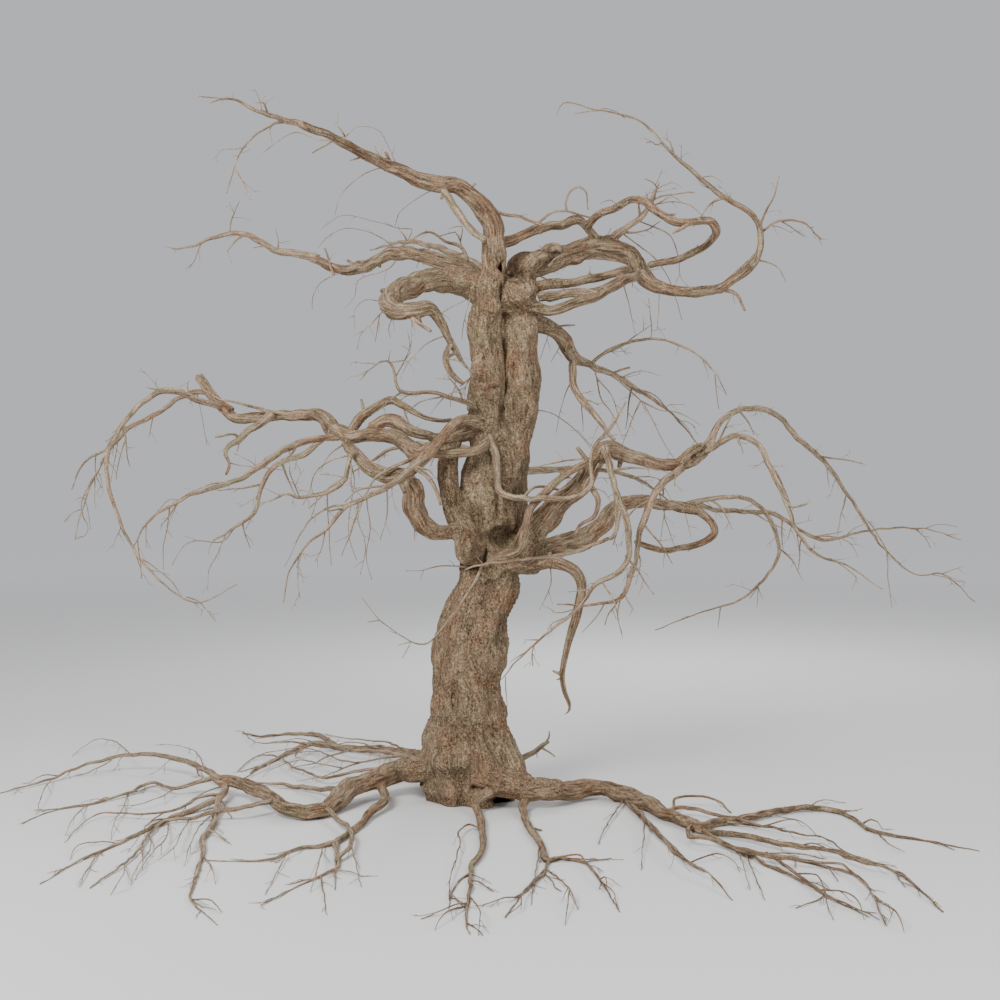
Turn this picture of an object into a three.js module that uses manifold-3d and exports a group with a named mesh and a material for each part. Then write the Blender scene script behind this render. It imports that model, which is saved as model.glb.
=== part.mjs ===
// A dead tree, standing on its spread roots: a stout trunk of fused stems on a flat cut, crooked
// bare boughs that loop and cross, long whips of dead twigs, and surface roots laid out on the ground.
import * as THREE from "three";
import { mergeVertices } from "three/addons/utils/BufferGeometryUtils.js";
import Module from "manifold-3d";

const wasm = await Module();
wasm.setup();

// Driving dimensions, in millimetres
const EYE = { x: 330, y: -14300, z: 3300 }; // the standpoint from which the tree's places are given
const SWEEP = 0.8; // how much further forward or back the limbs swing at their widest
const WIDEST_SWEEP = 2000; // how far out from the trunk that is
const TRUNK_SIDE = 300; // the upper trunk's place across
const GAP = 0.3; // between solids that meet
const TWIG_CLEARANCE = 12; // between a side twig and any other limb
const LEAST_TWIG = 4.5; // radius of a twig's end
const TRUNK_SIDES = 18;
const STEM_SIDES = 12;
const TWIG_SIDES = 3;
const THICK_STEM = 45; // a mass's stem over this radius gets one side more
const BOUGH_ROUGHNESS = 0.1; // how far the sections leave the round, as a share of the radius
// How side twigs grow: length of the longest, how far they open from the stem, in radians, how
// much they sink at each step and wander, and their greatest radius
const CROWN_STYLE = {
  reach: 760,
  leastOpening: 0.5,
  openingRange: 0.6,
  droop: 0.42,
  rising: 0.25,
  wander: 0.5,
  thickest: 15,
  onGround: false,
};
const ROOT_STYLE = {
  reach: 720,
  leastOpening: 0.3,
  openingRange: 0.5,
  droop: 0,
  rising: 0,
  wander: 0.5,
  thickest: 14,
  onGround: true,
};
const TWIG_STEPS = 3; // straight stretches of a side twig
const FIRST_TWIG = 0.12; // how far along its stem the first side twig stands, as a share
const TWIGGED_SHARE = 0.8; // of a stem's length
const TIP_SHORTENING = 0.45; // how much shorter side twigs are at the stem's tip, as a share
const THINNEST_ROOT = 1.6; // least radius of a side twig at its root, as a share of its end's
const STEM_SPACE = 0.7; // how far side twigs may leave their stems' box, as a share of their reach
const BALL_SPACING = 60; // of the balls that mark the space which limbs take
const LEAST_ROOTING = 0.5; // how deep in its carrier a limb starts, as a share of the carrier's radius
const FLARE_FLUTES = 7; // ribs round the root flare
const FLARE_TOP = 0.35; // where the ribs die out, as a share of the bole
const LEAST_SIDE = 0.2; // under this, a tube's side direction is taken afresh
const GROUND_SIZE = 4000; // of the block that cuts the foot of the trunk flat
const GOLDEN_TURN = Math.PI * (3 - Math.sqrt(5));

// Colours of the bark, as sRGB
const TRUNK_BARK = 0x9a8468;
const BOUGH_BARK = 0xa48e74;
const ROOT_BARK = 0x8f7a60;
const TWIG_BARK = 0xb3a18a;
const BARK_ROUGHNESS = 0.9;

// Places on the trunk and the boughs are [side, height, depth, radius]: side and height as seen
// from the standpoint across the upright plane through the trunk, depth behind that plane, to
// which the sweep is added.
const BOLE = [
  [-20, -60, 60, 500],
  [-20, 180, 60, 500],
  [-25, 480, 50, 495],
  [-38, 860, 30, 405],
  [-40, 1200, 10, 385],
  [-40, 1560, 0, 385],
  [15, 1840, 0, 370],
  [95, 2080, 10, 345],
  [190, 2400, 30, 322],
  [230, 2680, 60, 295],
  [250, 2900, 80, 240],
];
const STEMS = {
  left: [
    [150, 2200, -60, 200],
    [165, 2640, -110, 185],
    [176, 3080, -60, 180],
    [170, 3520, -60, 182],
    [180, 4000, -60, 170],
    [176, 4400, -50, 180],
    [190, 4800, -50, 165],
    [176, 5200, -40, 182],
    [230, 5560, -20, 160],
  ],
  right: [
    [290, 2300, 60, 160],
    [400, 2700, 70, 165],
    [480, 3300, 60, 150],
    [500, 3900, 60, 140],
    [560, 4330, 40, 205],
    [565, 4700, 40, 190],
    [545, 5200, 50, 165],
    [560, 5640, 60, 165],
  ],
  back: [
    [250, 2200, 180, 210],
    [320, 2900, 240, 200],
    [340, 3600, 250, 175],
    [360, 4400, 230, 185],
    [400, 5000, 220, 170],
    [420, 5480, 200, 150],
  ],
  outer_left: [
    [60, 2560, -190, 80],
    [-10, 2740, -220, 128],
    [-60, 2960, -215, 120],
    [-170, 3240, -190, 100],
    [-225, 3540, -170, 98],
    [-225, 3800, -150, 92],
    [-130, 4040, -110, 85],
    [60, 4230, -60, 80],
  ],
  front_lobe: [
    [250, 2500, -150, 150],
    [330, 2620, -200, 130],
    [420, 2640, -210, 120],
    [600, 2600, -120, 110],
    [760, 2560, -60, 85],
  ],
  top_block: [
    [520, 5440, -60, 130],
    [400, 5560, -120, 150],
    [430, 5720, -60, 130],
  ],
  back_spur: [
    [380, 420, 200, 130],
    [560, 480, 420, 70],
    [800, 600, 560, 36],
    [870, 740, 600, 16],
  ],
};

// Each bough is one limb on the nodes named in "on", which it meets at a small gap.
const BOUGHS = {
  bough_top_left: {
    on: ["trunk"],
    path: [
      [225, 5380, -130, 150],
      [240, 5620, -190, 140],
      [255, 5940, -220, 132],
      [262, 6240, -240, 128],
      [154, 6510, -250, 115],
      [-88, 6710, -260, 104],
      [-330, 6755, -300, 80],
      [-770, 6910, -420, 74],
      [-1155, 7095, -560, 56],
      [-1650, 7350, -760, 44],
      [-1870, 7436, -850, 38],
    ],
  },
  bough_high_left: {
    on: ["trunk"],
    path: [
      [200, 5560, 120, 110],
      [0, 5820, 200, 84],
      [-330, 5918, 320, 77],
      [-770, 6017, 460, 70],
      [-1155, 5885, 600, 60],
      [-1375, 5819, 700, 52],
      [-1738, 5973, 840, 44],
    ],
  },
  bough_curl: {
    on: ["trunk", "bough_top_left", "bough_high_left"],
    path: [
      [150, 5600, -40, 160],
      [-60, 5700, -90, 148],
      [-240, 5731, -170, 135],
      [-440, 5709, -280, 122],
      [-660, 5643, -420, 116],
      [-825, 5560, -600, 110],
      [-878, 5460, -780, 104],
    ],
  },
  bough_curl_return: {
    on: ["bough_curl"],
    path: [
      [-880, 5452, -800, 96],
      [-825, 5372, -940, 92],
      [-640, 5376, -1010, 85],
      [-462, 5412, -1010, 76],
      [-352, 5324, -990, 60],
      [-253, 5115, -950, 44],
      [-165, 4950, -900, 36],
    ],
  },
  bough_fold_left: {
    on: ["trunk"],
    path: [
      [190, 4130, -120, 160],
      [60, 4160, -230, 145],
      [-88, 4120, -310, 122],
      [-308, 3950, -370, 92],
      [-506, 3790, -380, 70],
    ],
  },
  bough_low_left: {
    on: ["bough_fold_left"],
    path: [
      [-480, 3810, -360, 84],
      [-580, 3800, -320, 84],
      [-670, 3880, -270, 82],
      [-815, 4000, -210, 80],
      [-1080, 4020, -110, 78],
      [-1320, 4010, 0, 77],
      [-1500, 4060, 60, 70],
    ],
    forks: [
      [
        [-1090, 4080, -60, 60],
        [-960, 4160, -70, 66],
        [-800, 4150, -90, 74],
        [-620, 4060, -120, 66],
        [-430, 3995, -140, 50],
      ],
    ],
  },
  bough_far_left: {
    on: ["bough_low_left"],
    path: [
      [-1500, 4065, 62, 68],
      [-1590, 4190, 90, 70],
      [-1680, 4240, 110, 66],
      [-1870, 4235, 160, 64],
      [-2255, 4213, 250, 60],
      [-2585, 4202, 300, 58],
      [-2772, 4367, 330, 46],
    ],
  },
  bough_hook_left: {
    on: ["trunk"],
    path: [
      [-110, 3000, -200, 80],
      [-240, 2960, -260, 76],
      [-380, 2955, -320, 80],
      [-520, 3040, -380, 106],
      [-620, 3240, -420, 116],
      [-650, 3430, -420, 108],
      [-710, 3550, -410, 86],
    ],
  },
  bough_hook_left_arm: {
    on: ["bough_hook_left", "bough_low_left"],
    path: [
      [-712, 3554, -408, 74],
      [-902, 3545, -340, 76],
      [-1045, 3608, -290, 74],
      [-1188, 3740, -220, 66],
      [-1310, 3860, -150, 60],
      [-1360, 3930, -90, 50],
    ],
  },
  bough_bridge_left: {
    on: ["bough_low_left"],
    path: [
      [-1300, 4060, 0, 46],
      [-1240, 4150, 20, 48],
      [-1155, 4240, 40, 44],
      [-1000, 4350, 50, 40],
      [-858, 4400, 60, 40],
      [-748, 4345, 60, 36],
      [-605, 4257, 40, 30],
      [-330, 4175, -60, 23],
      [-200, 4185, -100, 22],
    ],
  },
  bough_low_right: {
    on: ["trunk"],
    path: [
      [560, 2700, -60, 160],
      [680, 2930, -160, 146],
      [800, 3080, -220, 138],
      [935, 3212, -270, 128],
      [1100, 3355, -310, 120],
      [1265, 3542, -330, 110],
      [1397, 3718, -340, 98],
      [1474, 3850, -330, 86],
    ],
  },
  bough_far_right: {
    on: ["bough_low_right"],
    path: [
      [1480, 3858, -325, 78],
      [1650, 3828, -280, 76],
      [1870, 3762, -240, 70],
      [2090, 3707, -200, 66],
      [2288, 3685, -160, 68],
      [2440, 3760, -130, 84],
      [2596, 3870, -100, 56],
    ],
  },
  bough_right_behind: {
    on: ["trunk", "bough_low_right"],
    path: [
      [600, 2700, 140, 125],
      [820, 2750, 220, 112],
      [1045, 2805, 320, 110],
      [1265, 2882, 420, 108],
      [1430, 3025, 500, 100],
      [1562, 3168, 570, 95],
      [1700, 3265, 640, 78],
      [1925, 3278, 740, 66],
      [2145, 3245, 830, 58],
      [2365, 3212, 900, 52],
    ],
  },
  bough_right_loop: {
    on: ["bough_right_behind"],
    path: [
      [2350, 3200, 880, 42],
      [2540, 3150, 860, 42],
      [2662, 3058, 820, 40],
      [2695, 2950, 770, 38],
      [2600, 2850, 700, 36],
      [2310, 2772, 600, 34],
      [2100, 2750, 520, 32],
      [1815, 2838, 440, 28],
    ],
  },
  bough_hanging: {
    on: ["trunk"],
    path: [
      [700, 2590, -90, 72],
      [880, 2620, -180, 66],
      [1133, 2530, -240, 58],
      [1232, 2365, -260, 54],
      [1199, 2145, -270, 50],
      [1089, 1760, -280, 42],
      [1012, 1375, -300, 32],
      [1045, 1155, -300, 24],
      [1067, 957, -300, 10],
    ],
  },
  bough_right_front: {
    on: ["trunk", "bough_low_right"],
    path: [
      [480, 2680, -280, 46],
      [580, 2860, -400, 45],
      [660, 3190, -460, 44],
      [770, 3322, -480, 42],
      [1045, 3575, -500, 40],
      [1300, 3720, -490, 36],
      [1420, 3790, -440, 32],
    ],
  },
  bough_upper_right: {
    on: ["trunk"],
    path: [
      [600, 5270, 100, 105],
      [880, 5192, 240, 86],
      [1023, 5060, 320, 78],
      [1133, 4884, 400, 68],
    ],
  },
  bough_top_right: {
    on: ["trunk", "bough_top_left"],
    path: [
      [500, 5640, 120, 165],
      [627, 5860, 180, 150],
      [825, 5918, 230, 130],
      [1100, 6006, 280, 112],
      [1430, 6083, 310, 100],
      [1650, 6050, 310, 98],
      [1793, 5962, 290, 95],
      [1870, 5830, 240, 88],
    ],
  },
  bough_cage_high: {
    on: ["trunk", "bough_top_right"],
    path: [
      [700, 5640, 20, 58],
      [960, 5680, -40, 52],
      [1210, 5709, -60, 50],
      [1540, 5790, -20, 48],
      [1760, 5840, 120, 44],
    ],
  },
  bough_cage_low: {
    on: ["trunk", "bough_cage_high", "bough_top_right"],
    path: [
      [640, 5440, -60, 66],
      [880, 5379, -220, 56],
      [1100, 5445, -290, 54],
      [1320, 5511, -290, 58],
      [1485, 5590, -230, 58],
      [1680, 5700, -80, 52],
      [1830, 5770, 90, 46],
    ],
    forks: [
      [
        [1380, 5560, -280, 44],
        [1210, 5577, -280, 46],
        [960, 5550, -220, 46],
        [760, 5535, -130, 46],
      ],
    ],
  },
  bough_outer_loop: {
    on: ["bough_top_right", "bough_cage_low"],
    path: [
      [1872, 5826, 238, 80],
      [1960, 5720, 220, 74],
      [2090, 5643, 200, 66],
      [2310, 5599, 150, 58],
      [2530, 5599, 100, 52],
      [2728, 5621, 40, 48],
      [3025, 5808, -40, 45],
      [3157, 5962, -100, 42],
    ],
  },
  bough_connector: {
    on: ["bough_top_left", "bough_top_right"],
    path: [
      [300, 6110, -150, 54],
      [550, 6204, 0, 50],
      [770, 6281, 100, 50],
      [990, 6325, 160, 48],
      [1210, 6380, 200, 46],
      [1320, 6260, 250, 48],
      [1400, 6150, 290, 56],
    ],
  },
  bough_inner_loop: {
    on: ["bough_connector", "bough_top_right"],
    path: [
      [1300, 6330, 200, 40],
      [1397, 6430, 60, 40],
      [1595, 6520, -140, 42],
      [1760, 6600, -280, 42],
      [1925, 6578, -380, 44],
      [2090, 6446, -440, 45],
      [2255, 6358, -460, 45],
      [2420, 6358, -450, 42],
      [2640, 6369, -400, 42],
    ],
  },
  bough_inner_loop_low: {
    on: ["bough_inner_loop", "bough_top_right"],
    path: [
      [2648, 6366, -398, 36],
      [2717, 6259, -360, 40],
      [2640, 6149, -290, 38],
      [2420, 6006, -160, 38],
      [2200, 5929, 0, 38],
      [1980, 5885, 160, 38],
    ],
  },
  bough_back_high: {
    on: ["trunk", "bough_top_right"],
    path: [
      [400, 5300, 200, 140],
      [420, 5500, 520, 112],
      [390, 5640, 900, 88],
      [300, 5720, 1300, 66],
    ],
  },
  bough_back_low: {
    on: ["trunk"],
    path: [
      [340, 2900, 260, 160],
      [400, 3200, 640, 122],
      [470, 3420, 1100, 98],
      [480, 3600, 1560, 76],
    ],
  },
};

// Places on the roots are [side, height, lift, radius]: seen from the same standpoint, with the
// underside held that far above the ground.
const ROOTS = {
  root_left: {
    on: ["trunk"],
    path: [
      [-300, 390, 200, 190],
      [-540, 352, 200, 160],
      [-770, 330, 150, 130],
      [-1045, 231, 100, 120],
      [-1320, 110, 60, 105],
      [-1595, -88, 0, 90],
      [-1815, -143, 0, 78],
      [-2000, -100, 30, 74],
      [-2145, 0, 70, 72],
      [-2310, 88, 110, 70],
      [-2530, 187, 120, 64],
      [-2728, 209, 120, 58],
    ],
    forks: [
      [
        [-985, 180, 120, 50],
        [-945, -10, 60, 44],
        [-1100, -143, 20, 42],
        [-1265, -308, 0, 38],
        [-1463, -462, 0, 33],
      ],
    ],
  },
  root_back_left: {
    on: ["trunk"],
    path: [
      [-340, 400, 160, 110],
      [-495, 450, 140, 76],
      [-770, 528, 60, 48],
      [-1100, 560, 10, 40],
      [-1400, 575, 0, 34],
    ],
  },
  root_right: {
    on: ["trunk"],
    path: [
      [280, 200, 120, 170],
      [550, 132, 100, 126],
      [990, 110, 60, 102],
      [1320, 132, 30, 92],
      [1650, 77, 10, 88],
      [1870, 0, 0, 85],
      [2200, -165, 0, 72],
      [2530, -297, 0, 55],
    ],
    forks: [
      [
        [1700, 20, 10, 40],
        [1830, -120, 0, 30],
        [1980, -275, 0, 27],
        [2145, -440, 0, 24],
        [2420, -693, 0, 20],
        [2600, -792, 0, 14],
      ],
    ],
  },
  root_front_left: {
    on: ["trunk", "root_right"],
    path: [
      [240, 180, 130, 90],
      [150, 60, 80, 56],
      [95, -80, 20, 46],
      [132, -330, 0, 42],
      [132, -550, 0, 36],
      [22, -715, 0, 30],
    ],
  },
  root_front_right: {
    on: ["trunk", "root_right"],
    path: [
      [520, 190, 160, 80],
      [600, 60, 90, 50],
      [583, -110, 10, 42],
      [660, -308, 0, 38],
      [770, -473, 0, 36],
      [847, -660, 0, 32],
    ],
  },
};

// A mass of twigs has one stem, which meets the tip of the limb it grows on, forks that
// leave the stem, and side twigs by the seeded rule below.
const TWIGS = {
  twigs_top_left: {
    on: ["bough_top_left"],
    seed: 11,
    count: 5,
    path: [
      [-1870, 7436, -850, 34],
      [-2057, 7490, -930, 30],
      [-2288, 7557, -1020, 24],
      [-2585, 7700, -1120, 14],
      [-2695, 7711, -1160, 10],
      [-2860, 7667, -1200, 5],
    ],
    forks: [
      [
        [-2000, 7470, -900, 16],
        [-2255, 7392, -1000, 13],
        [-2530, 7117, -1060, 9],
        [-2684, 6670, -1100, 5],
      ],
    ],
  },
  twigs_high_left: {
    on: ["bough_high_left"],
    seed: 23,
    count: 5,
    path: [
      [-1738, 5973, 840, 40],
      [-2145, 6050, 980, 37],
      [-2475, 6226, 1080, 30],
      [-2772, 6204, 1160, 20],
      [-3080, 6083, 1240, 12],
      [-3278, 6061, 1280, 5],
    ],
    forks: [],
  },
  twigs_curl: {
    on: ["bough_curl_return"],
    seed: 37,
    count: 4,
    path: [
      [-165, 4950, -900, 32],
      [-88, 4818, -860, 22],
      [0, 4730, -820, 12],
      [40, 4620, -800, 6],
    ],
    forks: [
      [
        [-150, 4920, -895, 20],
        [-264, 4840, -960, 16],
        [-220, 4708, -960, 12],
        [-88, 4576, -900, 6],
      ],
    ],
  },
  twigs_inner_left: {
    on: ["trunk", "bough_fold_left"],
    seed: 41,
    count: 5,
    path: [
      [110, 4300, -150, 34],
      [-55, 4378, -260, 29],
      [-275, 4444, -330, 26],
      [-418, 4488, -380, 25],
      [-748, 4488, -470, 22],
      [-814, 4587, -500, 18],
      [-880, 4818, -560, 13],
      [-1045, 4785, -640, 8],
      [-1210, 4620, -700, 5],
    ],
    forks: [],
  },
  twigs_left_upper: {
    on: ["bough_far_left"],
    seed: 53,
    count: 6,
    path: [
      [-2772, 4367, 330, 40],
      [-2915, 4480, 420, 31],
      [-3190, 4422, 540, 27],
      [-3465, 4235, 620, 24],
      [-3740, 4103, 700, 22],
      [-3905, 3927, 760, 18],
      [-4235, 3718, 840, 12],
      [-4389, 3410, 880, 5],
    ],
    forks: [
      [
        [-3905, 3927, 760, 14],
        [-4092, 3630, 700, 12],
        [-4257, 3240, 640, 9],
        [-4345, 2870, 600, 5],
      ],
      [
        [-2860, 4440, 390, 30],
        [-2940, 4560, 380, 27],
        [-2995, 4680, 370, 16],
      ],
    ],
  },
  twigs_far_left: {
    on: ["bough_far_left", "twigs_left_upper"],
    seed: 67,
    count: 6,
    path: [
      [-2760, 4330, 290, 34],
      [-3000, 4400, 180, 36],
      [-3200, 4490, 120, 34],
      [-3420, 4490, 60, 32],
      [-3740, 4240, -60, 28],
      [-3982, 3795, -190, 26],
      [-3960, 3410, -300, 22],
      [-3740, 2827, -450, 16],
      [-3355, 2365, -600, 11],
      [-3003, 2167, -700, 8],
      [-2563, 2376, -780, 5],
    ],
    forks: [],
  },
  twigs_left_low: {
    on: ["bough_low_left", "bough_far_left"],
    seed: 71,
    count: 6,
    path: [
      [-1490, 4000, 40, 40],
      [-1760, 3960, -100, 40],
      [-2145, 3795, -300, 38],
      [-2475, 3553, -480, 30],
      [-2805, 3443, -620, 26],
      [-3190, 3300, -760, 20],
      [-3542, 3058, -880, 13],
      [-3707, 2772, -940, 6],
    ],
    forks: [
      [
        [-1600, 3985, 0, 34],
        [-1820, 3800, 120, 32],
        [-2112, 3700, 240, 30],
        [-2288, 3465, 340, 26],
        [-2354, 3190, 400, 22],
        [-2585, 3003, 470, 16],
        [-2827, 2849, 520, 8],
      ],
    ],
  },
  twigs_left_inner: {
    on: ["bough_hook_left_arm", "bough_low_left"],
    seed: 83,
    count: 5,
    path: [
      [-1300, 3800, -260, 30],
      [-1375, 3542, -340, 28],
      [-1595, 3377, -420, 24],
      [-1870, 3333, -500, 18],
      [-2035, 3366, -560, 13],
      [-2200, 3278, -600, 6],
    ],
    forks: [],
  },
  twigs_front_left: {
    on: ["bough_fold_left", "bough_low_left"],
    seed: 97,
    count: 6,
    path: [
      [-500, 3780, -440, 44],
      [-640, 3650, -560, 40],
      [-825, 3498, -620, 34],
      [-1210, 3289, -720, 28],
      [-1375, 3212, -760, 26],
      [-1595, 2970, -820, 20],
      [-1760, 2849, -870, 15],
      [-1980, 2530, -920, 9],
      [-2046, 2167, -940, 5],
    ],
    forks: [],
  },
  twigs_front_vine: {
    on: ["trunk"],
    seed: 103,
    count: 5,
    path: [
      [220, 4000, -180, 46],
      [286, 3740, -310, 42],
      [330, 3410, -340, 38],
      [462, 3333, -400, 34],
      [760, 3315, -560, 31],
      [1090, 3322, -560, 29],
      [1320, 3443, -560, 26],
      [1342, 3850, -600, 20],
      [1562, 4125, -600, 17],
      [1705, 4378, -600, 8],
    ],
    forks: [],
  },
  twigs_far_right_high: {
    on: ["bough_far_right"],
    seed: 109,
    count: 6,
    path: [
      [2590, 3880, -90, 38],
      [2695, 4070, -20, 35],
      [2805, 4202, 80, 33],
      [3047, 4312, 240, 32],
      [3388, 4224, 460, 30],
      [3597, 3993, 580, 28],
      [3905, 3707, 720, 24],
      [4158, 3355, 840, 19],
      [4400, 2970, 940, 14],
      [4620, 2695, 1010, 10],
      [4928, 2475, 1080, 8],
      [5192, 2486, 1120, 7],
      [5555, 2178, 1160, 5],
    ],
    forks: [],
  },
  twigs_far_right_low: {
    on: ["bough_far_right", "twigs_far_right_high"],
    seed: 127,
    count: 6,
    path: [
      [2590, 3830, -120, 38],
      [2750, 3927, -290, 36],
      [2915, 4004, -430, 35],
      [3168, 3905, -600, 33],
      [3322, 3608, -720, 30],
      [3465, 3300, -820, 26],
      [3586, 2992, -900, 22],
      [3795, 2728, -990, 15],
      [4180, 2563, -1080, 10],
      [4532, 2310, -1150, 5],
    ],
    forks: [],
  },
  twigs_right_hanging: {
    on: ["bough_far_right"],
    seed: 131,
    count: 6,
    path: [
      [2330, 3660, -180, 46],
      [2110, 3480, -330, 44],
      [1980, 3245, -420, 40],
      [1860, 2915, -500, 34],
      [1815, 2585, -560, 28],
      [1650, 2222, -600, 22],
      [1320, 2145, -640, 16],
      [957, 2156, -680, 7],
    ],
    forks: [],
  },
  twigs_right_inner: {
    on: ["bough_low_right", "bough_far_right", "bough_right_front"],
    seed: 149,
    count: 6,
    path: [
      [1500, 3800, -400, 42],
      [1550, 3600, -560, 40],
      [1620, 3355, -640, 38],
      [1740, 2980, -700, 34],
      [1700, 2560, -740, 30],
      [1408, 2387, -760, 26],
      [1188, 2112, -780, 20],
      [825, 1815, -800, 14],
      [550, 1562, -820, 10],
      [330, 1320, -840, 5],
    ],
    forks: [],
  },
  twigs_right_behind: {
    on: ["bough_right_behind", "bough_right_loop"],
    seed: 151,
    count: 7,
    path: [
      [2350, 3230, 930, 32],
      [2560, 3300, 960, 28],
      [2750, 3322, 1000, 26],
      [3025, 3322, 1060, 24],
      [3267, 3135, 1140, 22],
      [3399, 2750, 1200, 19],
      [3300, 2508, 1260, 16],
      [2970, 2200, 1320, 12],
      [2585, 2079, 1380, 8],
      [2035, 1870, 1500, 5],
    ],
    forks: [
      [
        [2450, 3265, 945, 26],
        [2720, 3190, 1120, 26],
        [3000, 3168, 1240, 26],
        [3355, 3146, 1380, 24],
        [3630, 2970, 1480, 20],
        [3905, 2860, 1540, 17],
        [4400, 2970, 1620, 12],
        [5005, 2981, 1680, 8],
        [5400, 2860, 1720, 5],
      ],
    ],
  },
  twigs_upper_right: {
    on: ["bough_upper_right"],
    seed: 167,
    count: 7,
    path: [
      [1130, 4890, 398, 46],
      [1320, 4785, 560, 40],
      [1650, 4642, 800, 34],
      [1815, 4532, 950, 28],
      [2178, 4290, 1150, 14],
      [2497, 3927, 1300, 5],
    ],
    forks: [
      [
        [1150, 4880, 410, 42],
        [1130, 4700, 320, 44],
        [1150, 4510, 260, 42],
        [1265, 4367, 180, 38],
        [1397, 4202, 90, 32],
        [1584, 3950, 0, 20],
      ],
      [
        [1320, 4785, 560, 22],
        [1430, 4880, 420, 20],
        [1650, 5005, 260, 18],
        [2035, 5071, 60, 14],
        [2475, 4917, -140, 11],
        [2750, 4620, -300, 7],
        [2816, 4455, -360, 5],
      ],
    ],
  },
  twigs_top_right: {
    on: ["bough_outer_loop"],
    seed: 173,
    count: 6,
    path: [
      [3157, 5962, -100, 38],
      [3200, 6160, -140, 36],
      [3180, 6325, -180, 34],
      [3080, 6468, -220, 32],
      [2805, 6622, -300, 30],
      [2530, 6842, -380, 27],
      [2255, 7073, -470, 20],
      [2035, 7315, -540, 14],
      [1870, 7458, -580, 11],
      [1430, 7579, -660, 7],
      [1155, 7557, -700, 5],
    ],
    forks: [
      [
        [3190, 6240, -150, 16],
        [3355, 6347, -60, 13],
        [3520, 6380, 60, 10],
        [3685, 6336, 180, 8],
        [3872, 6160, 280, 5],
      ],
    ],
  },
  twigs_inner_right: {
    on: ["bough_top_right", "bough_connector"],
    seed: 181,
    count: 5,
    path: [
      [1480, 6100, 320, 46],
      [1650, 6248, 290, 38],
      [1870, 6402, 250, 34],
      [1980, 6545, 200, 26],
      [2046, 6710, 140, 12],
      [2080, 6800, 100, 6],
    ],
    forks: [],
  },
  twigs_back_high: {
    on: ["bough_back_high"],
    seed: 191,
    count: 7,
    path: [
      [300, 5720, 1300, 52],
      [60, 5900, 1550, 40],
      [-300, 6060, 1780, 32],
      [-700, 6140, 1950, 22],
      [-1100, 6050, 2050, 8],
    ],
    forks: [
      [
        [280, 5740, 1330, 44],
        [640, 5860, 1600, 36],
        [1100, 5960, 1800, 28],
        [1600, 5940, 1900, 18],
        [2000, 5780, 1960, 7],
      ],
    ],
  },
  twigs_back_low: {
    on: ["bough_back_low"],
    seed: 193,
    count: 7,
    path: [
      [480, 3600, 1560, 58],
      [200, 3780, 1850, 44],
      [-250, 3900, 2050, 34],
      [-800, 3880, 2100, 22],
      [-1300, 3600, 2100, 8],
    ],
    forks: [
      [
        [470, 3610, 1580, 48],
        [900, 3640, 1800, 38],
        [1400, 3640, 1900, 28],
        [1900, 3500, 1950, 18],
        [2300, 3200, 1980, 7],
      ],
    ],
  },
};

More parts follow.
